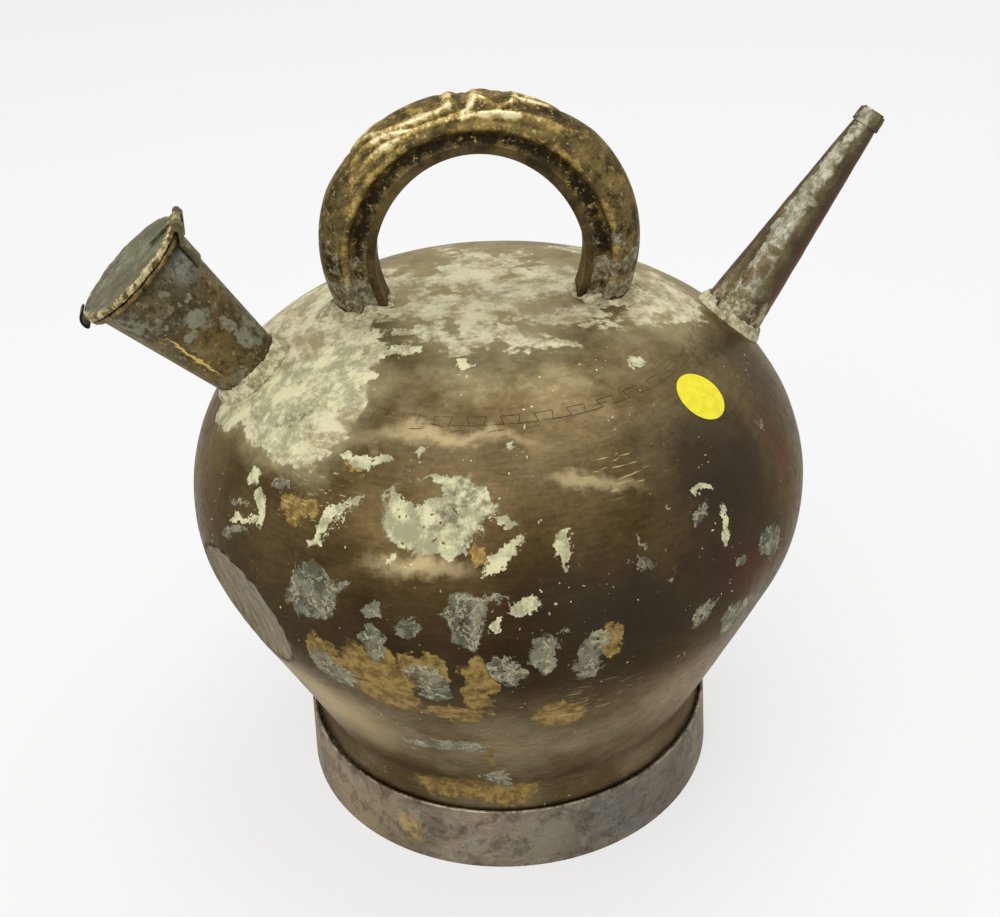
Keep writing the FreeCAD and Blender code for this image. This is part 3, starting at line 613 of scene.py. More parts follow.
film_rims = ramp(positive(less(noise(shaken, 75, 3, 0.6), 0.5)), 0.016, 0.004)
colour = laid(times(film_rims, larger(film, lime)), 0.45, colour, tone(240, 236, 206))
colour = laid(larger(lime, specks), 0.97, colour, lime_tone)

# The flat is streaked grey and green, and the crease round it is darkened with painted shade
pressed = add("Attribute", {}, shader.id_data, attribute_name="pressed").outputs["Fac"]
flat_streaks = patches(stretch(where, (1, 5, 1), (0.6, 0.0, 0.0)), 70, 5, 0.75, 0.36, 0.66)
flat_tone = blend(flat_streaks, tone(62, 60, 42), tone(138, 134, 106))
colour = laid(ramp(pressed, 0.0, 0.3), 0.85, colour, flat_tone)
# Painted shade along the crease
crease_shade = ramp(positive(plus(pressed, 0.15)), 0.45, 0.1)
colour = laid(crease_shade, 0.7, colour, tone(34, 30, 20))

# The solder of the toothed seam has sunk in short dark arcs
seam_dashes = [(-119, 222, 3.4, 0.3, 8), (-114, 223, 3.2, 0.3, -6), (-109, 222.4, 3.4, 0.3, 8),
               (-104.5, 223.4, 3.0, 0.3, -5), (-100, 222.4, 3.6, 0.3, 8), (-95.5, 223.6, 3.0, 0.3, -5),
               (-91.5, 222.6, 3.2, 0.3, 8), (-86.5, 223.8, 3.6, 0.3, -4), (-79.5, 223, 3.2, 0.3, 8),
               (-73, 224, 3.4, 0.3, -4), (-5, 233, 5.5, 1.1, 4)]
barely_shaken = shaken_place(where, 150.0, 0.0007)
colour = tinted(colour, barely_shaken, [(seam_dashes, 1.3, 0.7, 0.75, tone(58, 48, 30))])

covered = larger(larger(lime, times(film, 0.7)), times(grey, 0.8))
metallic = ramp(covered, 0.0, 1.0, 0.72, 0.10)
roughness = plus(ramp(covered, 0.0, 1.0, 0.36, 0.7), ramp(grain, 0.3, 0.7, -0.05, 0.07))
finish_shader(shader, colour, roughness, plus(times(covered, 0.6), times(grain, 0.4)), metallic)

dress(lower_sheet, body_brass, "can", ["lower_body"], 12)
dress(dome_sheet, body_brass, "can", ["shoulder_dome"], 12)


# Bottom and foot: a disc that closes the base, and the tapered band of tinned brass that the
# can stands on. The band is soldered to the body all round, in the gap between the two.
ring_radius_low = 98.0 * mm
ring_taper = -1.5 / 32
lip_start, lip_full = 31.4 * mm, 31.9 * mm


def turned_to(axis):
    """The turn that sets Z along an axis of the can's own plane."""
    side = Vector((0, 1, 0)).cross(axis).normalized()
    return flat_frame(side, axis.cross(side))


def on_pipe(root, axis, low, slope):
    """Gives the place and turn of a mark on a cone, from its bearing round it and its height."""
    turned = turned_to(axis)

    def found(around, along, turn):
        outwards = turned @ Vector((math.cos(math.radians(around)), math.sin(math.radians(around)), 0))
        place = root + axis * along * mm + outwards * (low + slope * along * mm)
        return place, flat_frame(axis.cross(outwards), axis, turn)

    return found


def plain_brass(name, light, dark, roughness=0.42, metallic=0.7, clouds=24.0, streak=(1, 1, 9), streaks=0.4,
                pits=0.5, film=None, cover=0.3, film_scale=60.0, relief=0.3, paint=None):
    """A material of old brass, with a dull film and other paint over it where they are given."""
    made, shader, where = material(name)
    metal = use(old_brass, {"Where": where, "Light": light, "Dark": dark, "Clouds": clouds, "Streak": streak,
                            "Streaks": streaks, "Pits": pits})
    colour, height, shine = metal["Color"], metal["Grain"], metallic
    rough = ramp(height, 0.25, 0.75, roughness - 0.07, roughness + 0.08)
    if film:
        mask = use(patchy, {"Where": where, "Scale": film_scale, "Cover": cover, "Edge": 0.05})["Mask"]
        mottled = blend(patches(where, 260, 3, 0.7, 0.36, 0.64), film[0], film[1])
        colour = laid(mask, 0.9, colour, mottled)
        rough = plus(times(mask, 0.22), rough)
        height = plus(times(mask, 0.6), height)
        shine = less(metallic, times(mask, metallic * 0.7))
    if paint:
        colour = paint(where, colour)
    finish_shader(shader, colour, rough, height, shine, relief)
    return made


def keep_node(node, made):
    """Leaves a node of the frame as it is and gives it its material."""
    piece = frame["nodes"][node]
    piece.data.materials.clear()
    piece.data.materials.append(made)


def foot_paint(where, colour):
    """The tinning is worn brown on one side, mottled in front and violet grey on the other."""
    at = on_pipe(Vector(), Vector((0, 0, 1)), ring_radius_low, ring_taper)
    wandering = shaken_place(where, 60.0, 0.004)
    colour = tinted(colour, wandering, [
        ([(-146, 14, 34, 20, 0)], 1.4, 0.3, 0.55, tone(160, 141, 112)),
        ([(-58, 16, 60, 24, 0)], 1.4, 0.3, 0.6, tone(98, 95, 92)),
        ([(-96, 14, 24, 12, 0)], 1.3, 0.4, 0.5, tone(148, 142, 120)),
        ([(-128, 15, 8, 8, 0)], 1.2, 0.5, 0.7, tone(188, 158, 100))], at)
    mottle = noise(wandering, 130, 4, 0.75)
    colour = laid(ramp(mottle, 0.50, 0.62), 0.55, colour, tone(66, 56, 48))
    lip = ramp(part_of(where, 2), lip_start, lip_full)
    return laid(times(lip, ramp(mottle, 0.56, 0.40)), 0.7, colour, tone(206, 196, 164))


foot_film = (tone(156, 151, 134), tone(110, 104, 92))
foot_tinned = plain_brass("foot_tinned", tone(146, 133, 112), tone(108, 97, 81), 0.46, 0.6, 40.0, (1, 1, 3),
                          0.35, 0.5, foot_film, 0.44, 60.0, paint=foot_paint)
keep_node("foot_ring", foot_tinned)
keep_node("bottom_plate", plain_brass("bottom_brass", tone(120, 106, 76), tone(82, 70, 48)))

solder = plain_brass("solder", tone(168, 160, 124), tone(112, 102, 74), 0.6, 0.3, 70.0, (1, 1, 1), 0.2, 0.5,
                     (tone(222, 217, 178), tone(150, 142, 110)), 0.60, 90.0, 0.5)


def worn_copy(node, name, grain_size, rounds=3):
    """A copy of a node's shape made one soft skin, with the edges rounded."""
    piece = frame["nodes"][node].copy()
    piece.data = frame["nodes"][node].data.copy()
    piece.name = name
    piece.parent = None
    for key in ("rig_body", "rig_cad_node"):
        if key in piece:
            del piece[key]
    bpy.context.scene.collection.objects.link(piece)
    edit_all(piece, bpy.ops.mesh.remove_doubles, threshold=weld)
    modify(piece, "REMESH", mode="VOXEL", voxel_size=grain_size)
    modify(piece, "SMOOTH", factor=0.5, iterations=rounds)
    return piece


def lumped(piece, size, height, share_at):
    """Moves a piece's skin in and out by soft noise, as much as share_at says for each place."""
    points = points_of(piece)
    for k, vertex in enumerate(piece.data.vertices):
        share, push = share_at(vertex.co)
        lump = random_field.fractal(vertex.co / size, 0.8, 2.0, 2)
        points[k] += np.array(vertex.normal) * height * lump * share + np.array(push)
    move_points(piece, points)


def evenly(place):
    """Every place is lumped alike."""
    return 1, (0, 0, 0)


thin_reach, thin_grain, sunk_depth = 2.4, 4 * mm, 0.3 * mm


def feather(place):
    """Solder thins to nothing at its edge: how thick it is over the skin, and how far to sink it."""
    spot, facing = skin.find_nearest(place)[:2]
    stand = max((place - spot).dot(facing), 0)
    thin = 1 - min(stand / ((thin_reach + random_field.noise(place / thin_grain)) * mm), 1)
    return 1 - thin, facing * -(stand + sunk_depth) * thin


def solder_run(name, node, grain_size, lump_size, lump_height):
    """Solder that flowed and set: the node's shape made one skin, given soft lumps and thin edges."""
    piece = worn_copy(node, name, grain_size)
    lumped(piece, lump_size, lump_height, feather)
    dress(piece, solder, "can", [node], 60)


solder_run("foot_solder_run", "foot_solder", 0.8 * mm, 5 * mm, 0.7 * mm)

# Filler: a cone rolled from sheet with a wire bead round its mouth, soldered to the shoulder
# by a fillet that ran out over the brass. The metal is dull, with a bright scratch below.
filler_low_radius = 14.75 * mm
filler_high_radius = 23.5 * mm
filler_taper = (filler_high_radius - filler_low_radius) / filler_length
filler_mouth = filler_root + filler_axis * filler_length
rim_shade_start, rim_shade_full = 56.5 * mm, 60.5 * mm


def local_place(where, root, axis):
    """The place measured from a root with Z along an axis: across, sideways and along."""
    inside = add("Mapping", {"Vector": where, "Location": root, "Rotation": turned_to(axis).to_euler()},
                 vector_type="TEXTURE")
    return add("SeparateXYZ", {0: inside.outputs[0]}).outputs[:3]


def filler_paint(where, colour):
    """Golden brown below, a painted blue-grey highlight by the hinge, painted shade under the rim, with
    flakes and a scratch.
    """
    at = on_pipe(filler_root, filler_axis, filler_low_radius, filler_taper)
    wandering = shaken_place(where, 90.0, 0.003)
    shaken = shaken_place(where, 260.0, 0.0012)
    grain = noise(where, 260, 3, 0.7)
    colour = tinted(colour, wandering, [
        ([(-86, 22, 12, 15, 0), (-120, 14, 10, 14, 0)], 1.3, 0.2, 0.6, tone(122, 96, 50)),
        # Painted highlight: a pale blue-grey patch below the hinge
        ([(-30, 52, 10, 10, 0)], 1.3, 0.3, 0.7, tone(138, 141, 134)),
        ([(-24, 34, 9, 18, 0)], 1.3, 0.3, 0.45, tone(124, 104, 66))], at)
    colour = laid(ramp(grain, 0.50, 0.62), 0.6, colour, tone(42, 37, 24))
    colour = laid(patches(where, 420, 2, 0.75, 0.60, 0.68), 0.6, colour, tone(158, 152, 118))
    flake_spots = [(-70, 37.5, 4.4, 3.4, 20), (-44, 16, 3.6, 5.5, 0), (-47, 25, 2.6, 4.4, 10),
                   (-88, 34, 3.4, 1.8, 0), (-57, 45, 2.2, 1.6, 30)]
    flakes = times(ramp(marks(shaken, flake_spots, at), 1.1, 0.85), ramp(grain, 0.34, 0.5))
    colour = laid(flakes, 0.75, colour, tone(146, 145, 122))
    scratch = ramp(marks(shaken, [(-110, 26.5, 0.9, 15.5, 0)], at), 1.1, 0.6)
    colour = laid(scratch, 0.9, colour, tone(222, 188, 108))
    # Painted shade under the lid's flange, darkening the funnel towards its mouth
    along = local_place(wandering, filler_root, filler_axis)[2]
    return laid(ramp(along, rim_shade_start, rim_shade_full), 0.65, colour, tone(40, 36, 26))


filler_film = (tone(132, 132, 110), tone(92, 90, 68))
filler_brass = plain_brass("filler_brass", tone(108, 96, 64), tone(68, 60, 38), 0.44, 0.6, 50.0, (1, 1, 1),
                           0.3, 0.6, filler_film, 0.44, 75.0, paint=filler_paint)
keep_node("filler_funnel", filler_brass)
rim_brass = plain_brass("rim_brass", tone(120, 100, 60), tone(52, 44, 27), 0.4, 0.7, 150.0, pits=0.8,
                        film=(tone(188, 172, 124), tone(120, 100, 62)), cover=0.38, film_scale=190.0)
rim_bead = worn_copy("filler_rim_wire", "filler_rim_bead", 0.45 * mm)
lumped(rim_bead, 5 * mm, 0.35 * mm, evenly)
dress(rim_bead, rim_brass, "can", ["filler_rim_wire"], 60)
solder_run("filler_solder_fillet", "filler_solder", 0.7 * mm, 6 * mm, 0.9 * mm)

# Pouring spout: a long tube rolled from sheet with a lap seam, its tip stiffened by a small
# collar, its root soldered to the shoulder. A dull film runs down the lap.
spout_low_radius = 13.9 * mm
spout_high_radius = 4.7 * mm
spout_taper = (spout_high_radius - spout_low_radius) / spout_length
lap_bearing = -146.0
lap_wander = 20.0
lap_turn_start, lap_turn_full = 12 * mm, 55 * mm


def spout_paint(where, colour):
    """Olive behind the lap, a pale film in front of it, then brown and red, with a crusty root."""
    wandering = shaken_place(where, 110.0, 0.0022)
    across, sideways, along = local_place(wandering, spout_root, spout_axis)
    bearing = times(sums("ARCTAN2", sideways, across), 180 / math.pi)
    grain = noise(where, 240, 3, 0.7)
    colour = laid(ramp(bearing, -104, -84), 0.7, colour, tone(60, 49, 33))
    colour = laid(ramp(bearing, -84, -66), 0.6, colour, tone(82, 46, 38))
    edge = ramp(along, 15 * mm, 95 * mm, -108, -126)
    lap = ramp(along, lap_turn_start, lap_turn_full, lap_bearing, lap_bearing - lap_wander)
    band = times(ramp(less(bearing, lap), -3, 1), ramp(less(bearing, edge), 8, -6))
    band = times(band, patches(where, 170, 3, 0.7, 0.26, 0.40))
    film_tone = blend(ramp(grain, 0.36, 0.64), tone(188, 186, 164), tone(128, 122, 98))
    colour = laid(band, 0.85, colour, film_tone)
    at = on_pipe(spout_root, spout_axis, spout_low_radius, spout_taper)
    brown_spots = [(-127, 35.5, 4.0, 3.2, 0), (-124, 27, 3.2, 4.4, 20), (-136, 21, 3.0, 3.4, 0)]
    colour = tinted(colour, wandering, [(brown_spots, 1.1, 0.75, 0.8, tone(96, 76, 42))], at)
    crust = times(ramp(along, 22 * mm, 8 * mm), patches(where, 150, 4, 0.75, 0.42, 0.54))
    crust_tone = blend(ramp(grain, 0.42, 0.58), tone(180, 174, 142), tone(108, 92, 56))
    return laid(crust, 0.8, colour, crust_tone)


spout_film = (tone(146, 142, 116), tone(104, 98, 74))
spout_brass = plain_brass("spout_brass", tone(114, 104, 74), tone(80, 70, 48), 0.44, 0.6, 60.0, (1, 1, 1),
                          0.4, 0.6, spout_film, 0.38, 110.0, paint=spout_paint)
spout_tube = worn_copy("pouring_spout", "spout_tube", 0.46 * mm)


def wandering_lap(place):
    """Turns the tube a little more with the distance along it, as its lap was rolled unevenly."""
    beside = place - spout_root
    along = beside.dot(spout_axis)
    share = min(max((along - lap_turn_start) / (lap_turn_full - lap_turn_start), 0), 1)
    wave = 3 * math.sin(along / (5 * mm)) * share
    eased = share * share * (3 - 2 * share)
    turn = Matrix.Rotation(math.radians(wave - lap_wander * eased), 3, spout_axis)
    return 0.6, turn @ beside - beside


lumped(spout_tube, 9 * mm, 0.3 * mm, wandering_lap)
dress(spout_tube, spout_brass, "can", ["pouring_spout"], 50)
tip_collar = worn_copy("spout_tip_ring", "spout_tip_collar", 0.25 * mm, 14)
lumped(tip_collar, 4 * mm, 0.3 * mm, evenly)
dress(tip_collar, spout_brass, "can", ["spout_tip_ring"], 60)
solder_run("spout_solder_fillet", "spout_solder", 0.7 * mm, 6 * mm, 0.9 * mm)

# Handle: two brass castings or pressings joined, an outer shell moulded with beads and leaf
# scrolls and a narrow inner strip, bent in a ring and soldered to the dome at both feet.
handle_turn = math.radians(-10)
ring_centre = Vector((-3.05 * mm, 0, 256.85 * mm))
ring_radius = 54.5 * mm
handle_depth = 22.9 * mm
handle_width = 28.0 * mm
handle_wall = 1.2 * mm
ring_low, ring_high = -34.0, 214.0
ring_columns = 400
side_share, foot_share = 0.10, 0.85
lip_share, groove_share, neck_share = (0.155, 0.33), (0.31, 0.315), (0.45, 0.40)
bead_share, crown_share = (0.525, 0.50), (0.60, 0.47)
groove_steps, bead_steps, crown_face_steps = 12, 9, 54
trim_radius, trim_low = 98 * mm, 200 * mm
crust_high, crust_low = 285 * mm, 242 * mm


def curve_through(first, second, third, steps):
    """Points of the arc through three points, without the first."""
    a, b, c = (Vector((x, y)) for x, y in (first, second, third))
    d = 2 * (a.x * (b.y - c.y) + b.x * (c.y - a.y) + c.x * (a.y - b.y))
    squares = [p.length_squared for p in (a, b, c)]
    centre = Vector((squares[0] * (b.y - c.y) + squares[1] * (c.y - a.y) + squares[2] * (a.y - b.y),
                     squares[0] * (c.x - b.x) + squares[1] * (a.x - c.x) + squares[2] * (b.x - a.x))) / d
    begin, via, end = (math.atan2(p.y - centre.y, p.x - centre.x) for p in (a, b, c))
    sweep = (end - begin) % (2 * math.pi)
    if (via - begin) % (2 * math.pi) > sweep:
        sweep -= 2 * math.pi
    size = (a - centre).length
    turns = [begin + sweep * k / steps for k in range(1, steps + 1)]
    return [(centre.x + size * math.cos(t), centre.y + size * math.sin(t)) for t in turns]


def half_section(side):
    """The lip, groove, neck, bead and edge of the crown on one side of the section."""
    return [((out - 0.5) * handle_depth, side * across * handle_width)
            for out, across in (lip_share, groove_share, neck_share, bead_share, crown_share)]


near, far = half_section(-1), half_section(1)
section = [near[0]] + curve_through(near[0], near[1], near[2], groove_steps)
section += curve_through(near[2], near[3], near[4], bead_steps)
section += curve_through(near[4], (handle_depth / 2, 0), far[4], crown_face_steps)
section += curve_through(far[4], far[3], far[2], bead_steps)
section += curve_through(far[2], far[1], far[0], groove_steps)
start_turn = math.radians(ring_low)
outline = []
for x, y in section:
    out = ring_radius + x
    outline.append(ring_centre + Vector((out * math.cos(start_turn), y, out * math.sin(start_turn))))
ring_sweep = math.radians(ring_high - ring_low)
shell = spun("handle_moulded_shell", outline, ring_columns, ring_centre, (0, 1, 0), ring_sweep)

# The section swells at the sides of the ring and slims at its feet
points = points_of(shell)
beside = points - np.array(ring_centre)
angle = np.degrees(np.arctan2(beside[:, 2], beside[:, 0]))
angle = np.where(angle < -90, angle + 360, angle)
away = abs(angle - 90) / (90 - ring_low)
full = 1 + side_share * np.sin(math.pi * away) ** 2 - (1 - foot_share) * away ** 4
outward = np.stack([np.cos(np.radians(angle)), 0 * angle, np.sin(np.radians(angle))], 1)
depth = (beside * outward).sum(1) - ring_radius
points = np.array(ring_centre) + outward * (ring_radius + depth * full)[:, None]
points[:, 1] = beside[:, 1] * full

# Leaf scrolls on the crown: a sunk field with broad ridges along curled outlines, full between
tongue = [(137, 0), (130.5, 3), (125, 7.5), (116.5, 10.25), (108.5, 11), (102, 10.25), (99, 7.75), (98.5, 0)]
second_leaf = [(89, 0), (89.6, 5), (90.5, 9), (93, 12.25), (100, 14), (107.5, 14.75), (115, 14),
               (122, 10.75), (127.5, 9.25), (133, 7.75), (137.5, 8), (143, 9)]
third_leaf = [(75.5, 0), (75.8, 5), (78, 8.25), (81.5, 9.5), (84.5, 8), (86.5, 6), (88, 4.5)]
fourth_leaf = [(60, 0), (66.5, 2), (73.5, 3), (75.5, 4)]
bead_line = [(50, 9.5), (59, 11), (69, 11.75), (77.5, 12.5), (84.5, 13), (89.5, 13.75), (95, 15),
             (102, 15.5), (110, 16), (115.5, 15.5), (121.5, 14.5), (130.5, 13.75), (139, 13.75), (150, 15.5)]
ridge_height, ridge_half = 1.3 * mm, 1.9 * mm
valley_depth, valley_reach, valley_half = 0.7 * mm, 3.7 * mm, 1.3 * mm
bulge_height, bulge_reach = 0.9 * mm, 3.2 * mm
field_depth = 1.3 * mm
relief_low, relief_high, relief_ease = 44, 155, 14
rim_past, rim_ease = 4.5 * mm, 3 * mm
middle_share, middle_reach = 0.45, 6 * mm
block_columns = 128
edge_worn_reach, groove_dark_reach = 1.8 * mm, 2.2 * mm
crown_radius = ring_radius + handle_depth / 2


def smooth_line(corners, steps=6):
    """A soft curve through corners given as bearing round the ring and distance across."""
    line = [Vector((math.radians(a) * crown_radius, t * mm)) for a, t in corners]
    line = [line[0] * 2 - line[1]] + line + [line[-1] * 2 - line[-2]]
    curved = []
    for k in range(1, len(line) - 2):
        p, a, b, q = line[k - 1:k + 3]
        for s in range(steps):
            t = s / steps
            bent = (2 * p - 5 * a + 4 * b - q) * t * t + (3 * a - p - 3 * b + q) * t ** 3
            curved.append(0.5 * (2 * a + (b - p) * t + bent))
    return np.array(curved + [line[-2]])


def distance_to(line, flat):
    """How far each place is from a line, and how far along the line its nearest point is."""
    least, along = np.full(len(flat), 1.0), np.zeros(len(flat))
    for k, (a, b) in enumerate(zip(line, line[1:])):
        run = b - a
        share = np.clip(((flat - a) @ run) / max(run @ run, 1e-12), 0, 1)
        gap = np.linalg.norm(flat - a - share[:, None] * run, axis=1)
        along = np.where(gap < least, (k + share) / (len(line) - 1), along)
        least = np.minimum(least, gap)
    return least, along


def within(line, flat):
    """Whether each place is inside a line closed by its mirror image."""
    ring = np.concatenate([line, line[::-1] * [1, -1]])
    inside = np.zeros(len(flat), bool)
    for a, b in zip(ring, np.roll(ring, -1, axis=0)):
        crosses = (a[1] > flat[:, 1]) != (b[1] > flat[:, 1])
        rise = np.where(abs(b[1] - a[1]) < 1e-12, 1e-12, b[1] - a[1])
        inside ^= crosses & (flat[:, 0] < (b[0] - a[0]) * (flat[:, 1] - a[1]) / rise + a[0])
    return inside


crown_rise = handle_depth * (1 - crown_share[0]) * full
crown_half = crown_share[1] * handle_width * full
bend = (crown_half ** 2 + crown_rise ** 2) / (2 * crown_rise)
on_crown = depth > (crown_share[0] - 0.5) * handle_depth - weld
tilt = np.arcsin(np.clip(points[:, 1] / bend, -1, 1))
flat = np.stack([np.radians(angle) * crown_radius, abs(tilt * bend)], 1)
low_middle = middle_share + (1 - middle_share) * np.clip(flat[:, 1] / middle_reach, 0, 1)
ridges, valleys, bulge = np.zeros(len(points)), np.zeros(len(points)), np.zeros(len(points))
leaves = [(tongue, 0.9, 0), (second_leaf, 0.3, 0.25), (third_leaf, 0.7, 0), (fourth_leaf, 0.4, 0)]
for corners, fullness, fading_share in leaves + [(bead_line, 0, 0.2)]:
    line = smooth_line(corners)
    gap, along = distance_to(line, flat)
    strength = np.clip((1 - along) / fading_share, 0, 1) if fading_share else 1
    if corners is bead_line:
        strength = strength * np.clip(along / fading_share, 0, 1)
    ridges = np.maximum(ridges, strength * np.exp(-(gap / ridge_half) ** 2))
    valleys = np.maximum(valleys, strength * np.exp(-((gap - valley_reach) / valley_half) ** 2))
    if fullness:
        swell = np.maximum(bulge, fullness * (1 - np.exp(-(gap / bulge_reach) ** 2)))
        bulge = np.where(within(line, flat), swell, bulge)
ends = np.clip((relief_high - angle) / relief_ease, 0, 1) * np.clip((angle - relief_low) / relief_ease, 0, 1)
fade = np.clip((crown_half + rim_past - flat[:, 1]) / rim_ease, 0, 1)
valleys = valleys * (1 - ridges)
carved = ridge_height * ridges * low_middle - valley_depth * valleys * (1 - bulge) + bulge_height * bulge
rise = np.where(on_crown, (ends * carved - field_depth * ends) * fade, 0)
outside = np.cos(tilt)[:, None] * outward + np.sin(tilt)[:, None] * np.array([0, 1, 0])
points += rise[:, None] * outside
move_points(shell, points)

# How worn and bright the brass is: ridges and edges most, hollows least
bead_out = (bead_share[0] - 0.5) * handle_depth * full
groove_out = (groove_share[0] - 0.5) * handle_depth * full
edge_gap = np.hypot(depth - bead_out, abs(points[:, 1]) - bead_share[1] * handle_width * full)
on_edge = np.exp(-(edge_gap / edge_worn_reach) ** 2)
in_groove = np.exp(-(abs(depth - groove_out) / groove_dark_reach) ** 2) * ~on_crown
wear = 0.40 + 0.20 * on_edge - 0.34 * in_groove
crown_wear = 0.04 + 0.46 * ridges ** 0.6 + 0.2 * bulge - 0.16 * valleys
wear = np.where(on_crown, wear + ends * fade * crown_wear, wear)
relief = shell.data.attributes.new("wear", "FLOAT", "POINT")
relief.data.foreach_set("value", wear.astype(np.float32))
edit_all(shell, bpy.ops.mesh.normals_make_consistent, inside=False)
centres = np.array([face.center for face in shell.data.polygons])
facing = np.array([face.normal for face in shell.data.polygons])
on_top = centres[:, 2] > centres[:, 2].max() - 2 * mm
if facing[on_top, 2].mean() < 0:
    shell.data.flip_normals()
modify(shell, "SOLIDIFY", thickness=handle_wall, offset=-1, use_even_offset=True, thickness_clamp=1)
shell.rotation_euler = (0, 0, handle_turn)
alone(shell)
bpy.ops.object.transform_apply(location=True, rotation=True, scale=True)

# The feet end where the ring meets the dome
trim = [p for p in profile if p.x < trim_radius and p.z > trim_low]
trim = [Vector((0, 0, trim_low)), Vector((trim[0].x, 0, trim_low))] + trim
dome_block = spun("dome_block", trim, block_columns)
cut(shell, dome_block)
bpy.data.objects.remove(dome_block)

handle_brass, shader, where = material("handle_brass")
worn = add("Attribute", {}, shader.id_data, attribute_name="wear").outputs["Fac"]
metal = use(old_brass, {"Where": where, "Light": tone(118, 100, 60), "Dark": tone(62, 52, 30),
                        "Clouds": 80.0, "Streak": (1, 1, 1), "Streaks": 0.4, "Pits": 0.6})
grain = metal["Grain"]
worn = plus(worn, ramp(noise(where, 120, 4, 0.75), 0.32, 0.68, -0.26, 0.26))
colour = blend(ramp(worn, 0.42, 0.08), metal["Color"], tone(38, 30, 18))
colour = laid(patches(where, 360, 3, 0.75, 0.58, 0.66), 0.6, colour, tone(184, 166, 108))
colour = blend(ramp(worn, 0.52, 0.82), colour, tone(168, 142, 78))
colour = blend(ramp(worn, 0.76, 1.0), colour, tone(226, 216, 172))
cover = ramp(part_of(where, 2), crust_high, crust_low, 0.24, 0.56)
crust = use(patchy, {"Where": where, "Scale": 130.0, "Cover": cover, "Edge": 0.05})["Mask"]
crust_tone = blend(ramp(grain, 0.36, 0.62), tone(172, 166, 138), tone(104, 98, 78))
colour = laid(crust, 0.85, colour, crust_tone)
roughness = plus(ramp(grain, 0.25, 0.75, 0.38, 0.54), times(crust, 0.18))
shine = less(0.75, times(crust, 0.5))
finish_shader(shader, colour, roughness, plus(grain, times(crust, 0.6)), shine, 0.35)
dress(shell, handle_brass, "can", ["handle_outer_shell"], 40)
strip_film = (tone(158, 150, 118), tone(104, 96, 72))
strip_brass = plain_brass("strip_brass", tone(92, 77, 46), tone(44, 37, 23), 0.4, 0.7, 80.0, (1, 1, 1), 0.4,
                          film=strip_film, cover=0.34, film_scale=120.0)
keep_node("handle_inner_strip", strip_brass)
solder_run("handle_solder_mound_left", "handle_solder_filler_side", 0.7 * mm, 5 * mm, 0.9 * mm)
solder_run("handle_solder_mound_right", "handle_solder_spout_side", 0.7 * mm, 5 * mm, 0.9 * mm)

# Lid and hinge: a cap with a turned-down flange, a strap and knuckle on it between two
# knuckles of a leaf on the filler, a pin through them, and a curled lip to lift it by.
face_edge_start, face_edge_full = 23.6 * mm, 25.2 * mm
flange_start, flange_ease = 24 * mm, 1.5 * mm


def lid_paint(where, colour):
    """Green grey on the face, with a cream and golden flange."""
    across, sideways = local_place(where, filler_mouth, filler_axis)[:2]
    flat = add("CombineXYZ", {0: across, 1: sideways}).outputs[0]
    out = add("VectorMath", {0: flat}, operation="LENGTH").outputs["Value"]
    waver = ramp(noise(where, 180, 3, 0.7), 0.3, 0.7, -1.6 * mm, 1.6 * mm)
    edge = ramp(plus(out, waver), face_edge_start, face_edge_full)
    cream = blend(patches(where, 230, 4, 0.75, 0.40, 0.58), tone(206, 190, 138), tone(86, 70, 42))
    return laid(edge, 0.9, colour, cream)


lid_film, hinge_film = (tone(136, 136, 108), tone(96, 96, 70)), (tone(146, 140, 110), tone(100, 94, 68))
lid_brass = plain_brass("lid_brass", tone(112, 112, 82), tone(74, 74, 54), 0.44, 0.6, 60.0, (1, 1, 1), 0.3,
                        0.6, lid_film, 0.46, 90.0, paint=lid_paint)
hinge_brass = plain_brass("hinge_brass", tone(104, 96, 68), tone(58, 52, 36), 0.45, 0.65, 90.0, (1, 1, 1),
                          0.3, 0.6, hinge_film, 0.40, 120.0)
# Brass darkened with painted shade, for the curled thumb lift
shaded_brass = plain_brass("shaded_brass", tone(50, 44, 34), tone(24, 22, 18), 0.4, 0.7, 80.0)
lid_cap = worn_copy("lid_plate", "lid_cap", 0.4 * mm)


def flange_only(place):
    """Only the flange is uneven: the face stays flat under the strap."""
    beside = place - filler_mouth
    out = (beside - filler_axis * beside.dot(filler_axis)).length
    return min(max((out - flange_start) / flange_ease, 0), 1), (0, 0, 0)


lumped(lid_cap, 7 * mm, 0.5 * mm, flange_only)
dress(lid_cap, lid_brass, "lid", ["lid_plate"], 60)
keep_node("hinge_fixed_leaf", hinge_brass)
keep_node("hinge_pin", hinge_brass)
keep_node("lid_hinge_leaf", lid_brass)
lift = worn_copy("thumb_lift", "thumb_curl", 0.3 * mm)
dress(lift, shaded_brass, "lid", ["thumb_lift"], 60)

# Dealer's label: a blank disc of thin yellow paper. It is stuck on the shoulder, near the
# spout's root, and follows the dented sheet under it.
label_radius = 11 * mm
label_stand = 0.05 * mm
label_place, label_frame = skin_frame(-47, 216, 0)
label = begun("blank_label", bpy.ops.mesh.primitive_circle_add, vertices=64, radius=label_radius,
              fill_type="TRIFAN")
edit_all(label, bpy.ops.mesh.subdivide, number_cuts=5)
points = points_of(label)
for k, point in enumerate(points):
    spot, facing = skin.find_nearest(label_place + label_frame @ Vector(point))[:2]
    points[k] = spot + facing * label_stand
move_points(label, points)
modify(label, "SOLIDIFY", thickness=0.1 * mm, offset=1)
label_paper, shader, where = material("label_paper")
creased = noise(where, 300, 4)
yellow = blend(ramp(creased, 0.35, 0.65), tone(250, 236, 34), tone(238, 222, 24))
finish_shader(shader, yellow, ramp(creased, 0.3, 0.7, 0.45, 0.6), creased, 0.0, 0.05)
dress(label, label_paper, "can", [], 40)

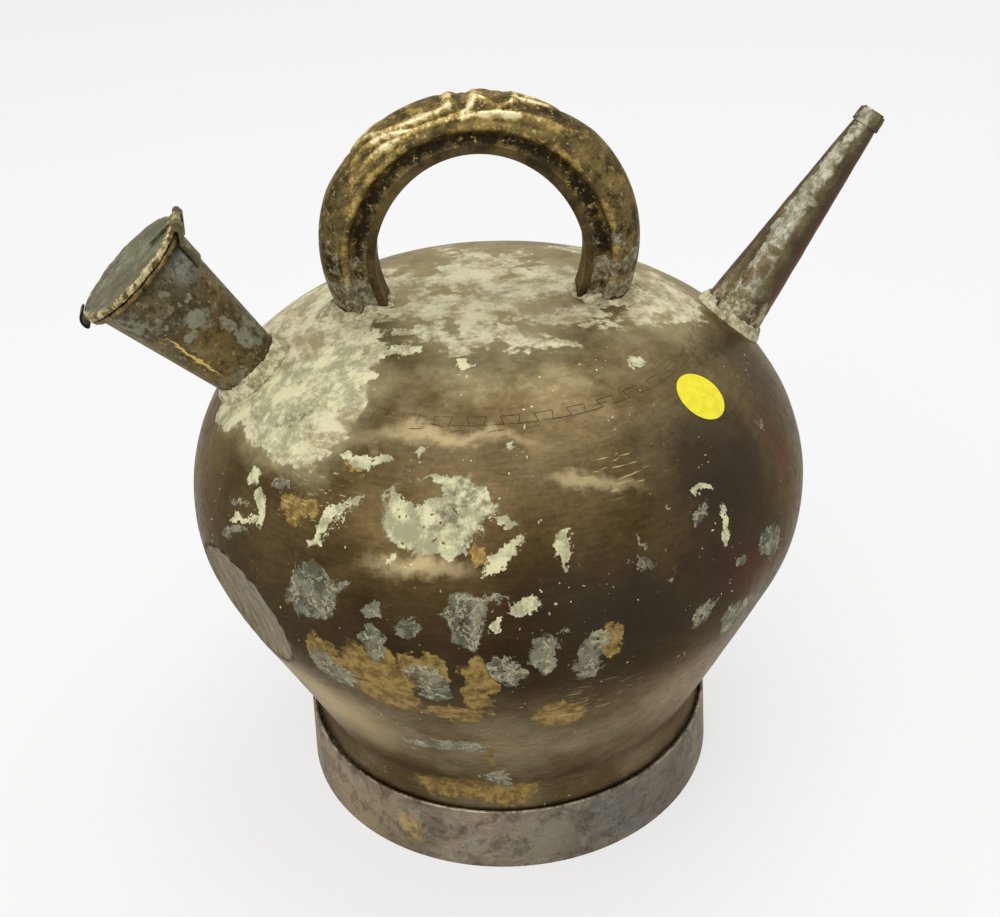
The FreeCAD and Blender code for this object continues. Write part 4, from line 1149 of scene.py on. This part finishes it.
# Table and light: a pale floor, a white surround and soft lamps, with the camera where the
# photograph was taken from: a little to the filler side of the front and well above.
floor_glow_share = 0.62
surround_light = 0.66
lamp_aim = Vector((0, 0, 0.16))
camera_azimuth, camera_elevation, camera_roll = math.radians(-10.0), math.radians(31.0), -2.7
camera_aim = Vector((0, 0, 0.155))
camera_distance = 0.62
focal_pixels, frame_pixels = 1372, 1000
white = (1, 1, 1, 1)


def seen_rays(tree):
    """1 for rays that the camera sees straight or by way of shiny and clear things, 0 for others."""
    rays = add("LightPath", {}, tree).outputs
    return larger(larger(rays["Is Camera Ray"], rays["Is Glossy Ray"]), rays["Is Transmission Ray"])


floor = begun("floor", bpy.ops.mesh.primitive_plane_add, size=6.0, location=(0, 0, 0))
pale_floor, diffuse = material("pale_floor")[:2]
tree = pale_floor.node_tree
join(diffuse, {"Base Color": (0.92, 0.92, 0.92, 1), "Roughness": 0.9, "Specular IOR Level": 0.0})
glow = add("Emission", {"Color": white, "Strength": 1.0}, tree).outputs[0]
mixed = add("MixShader", {0: times(seen_rays(tree), floor_glow_share), 1: diffuse.outputs[0], 2: glow})
join(tree.nodes["Material Output"], {"Surface": mixed.outputs[0]})
floor.data.materials.append(pale_floor)

world = bpy.data.worlds.new("surround")
bpy.context.scene.world = world
world.use_nodes = True
tree = world.node_tree
ambient, seen = (add("Background", {"Color": white, "Strength": strength}, tree).outputs[0]
                 for strength in (surround_light, 1.0))
mixed = add("MixShader", {0: seen_rays(tree), 1: ambient, 2: seen})
join(tree.nodes["World Output"], {"Surface": mixed.outputs[0]})


def lamp(name, place, size, power):
    """A square soft lamp aimed at the middle of the can."""
    light = bpy.data.lights.new(name, "AREA")
    light.shape = "SQUARE"
    light.size = size
    light.energy = power
    holder = bpy.data.objects.new(name, light)
    bpy.context.scene.collection.objects.link(holder)
    holder.location = place
    holder.rotation_euler = (lamp_aim - Vector(place)).to_track_quat("-Z", "Y").to_euler()


lamp("window_light", (-0.9, -0.9, 1.3), size=1.2, power=7.5)
lamp("ceiling_light", (0.25, 0.2, 1.5), size=1.0, power=5.5)

level = math.cos(camera_elevation)
back = Vector((math.sin(camera_azimuth) * level, -math.cos(camera_azimuth) * level,
               math.sin(camera_elevation)))
right = Vector((0, 0, 1)).cross(back).normalized()
camera = bpy.data.cameras.new("camera")
camera.sensor_width = 36.0
camera.lens = camera.sensor_width * focal_pixels / frame_pixels
camera.shift_x = 0.0028
camera.clip_start = 0.01
viewer = bpy.data.objects.new("camera", camera)
bpy.context.scene.collection.objects.link(viewer)
stand = Matrix.Translation(camera_aim + back * camera_distance)
viewer.matrix_world = stand @ flat_frame(right, back.cross(right), camera_roll).to_4x4()
bpy.context.scene.camera = viewer
bpy.context.scene.view_settings.view_transform = "Standard"
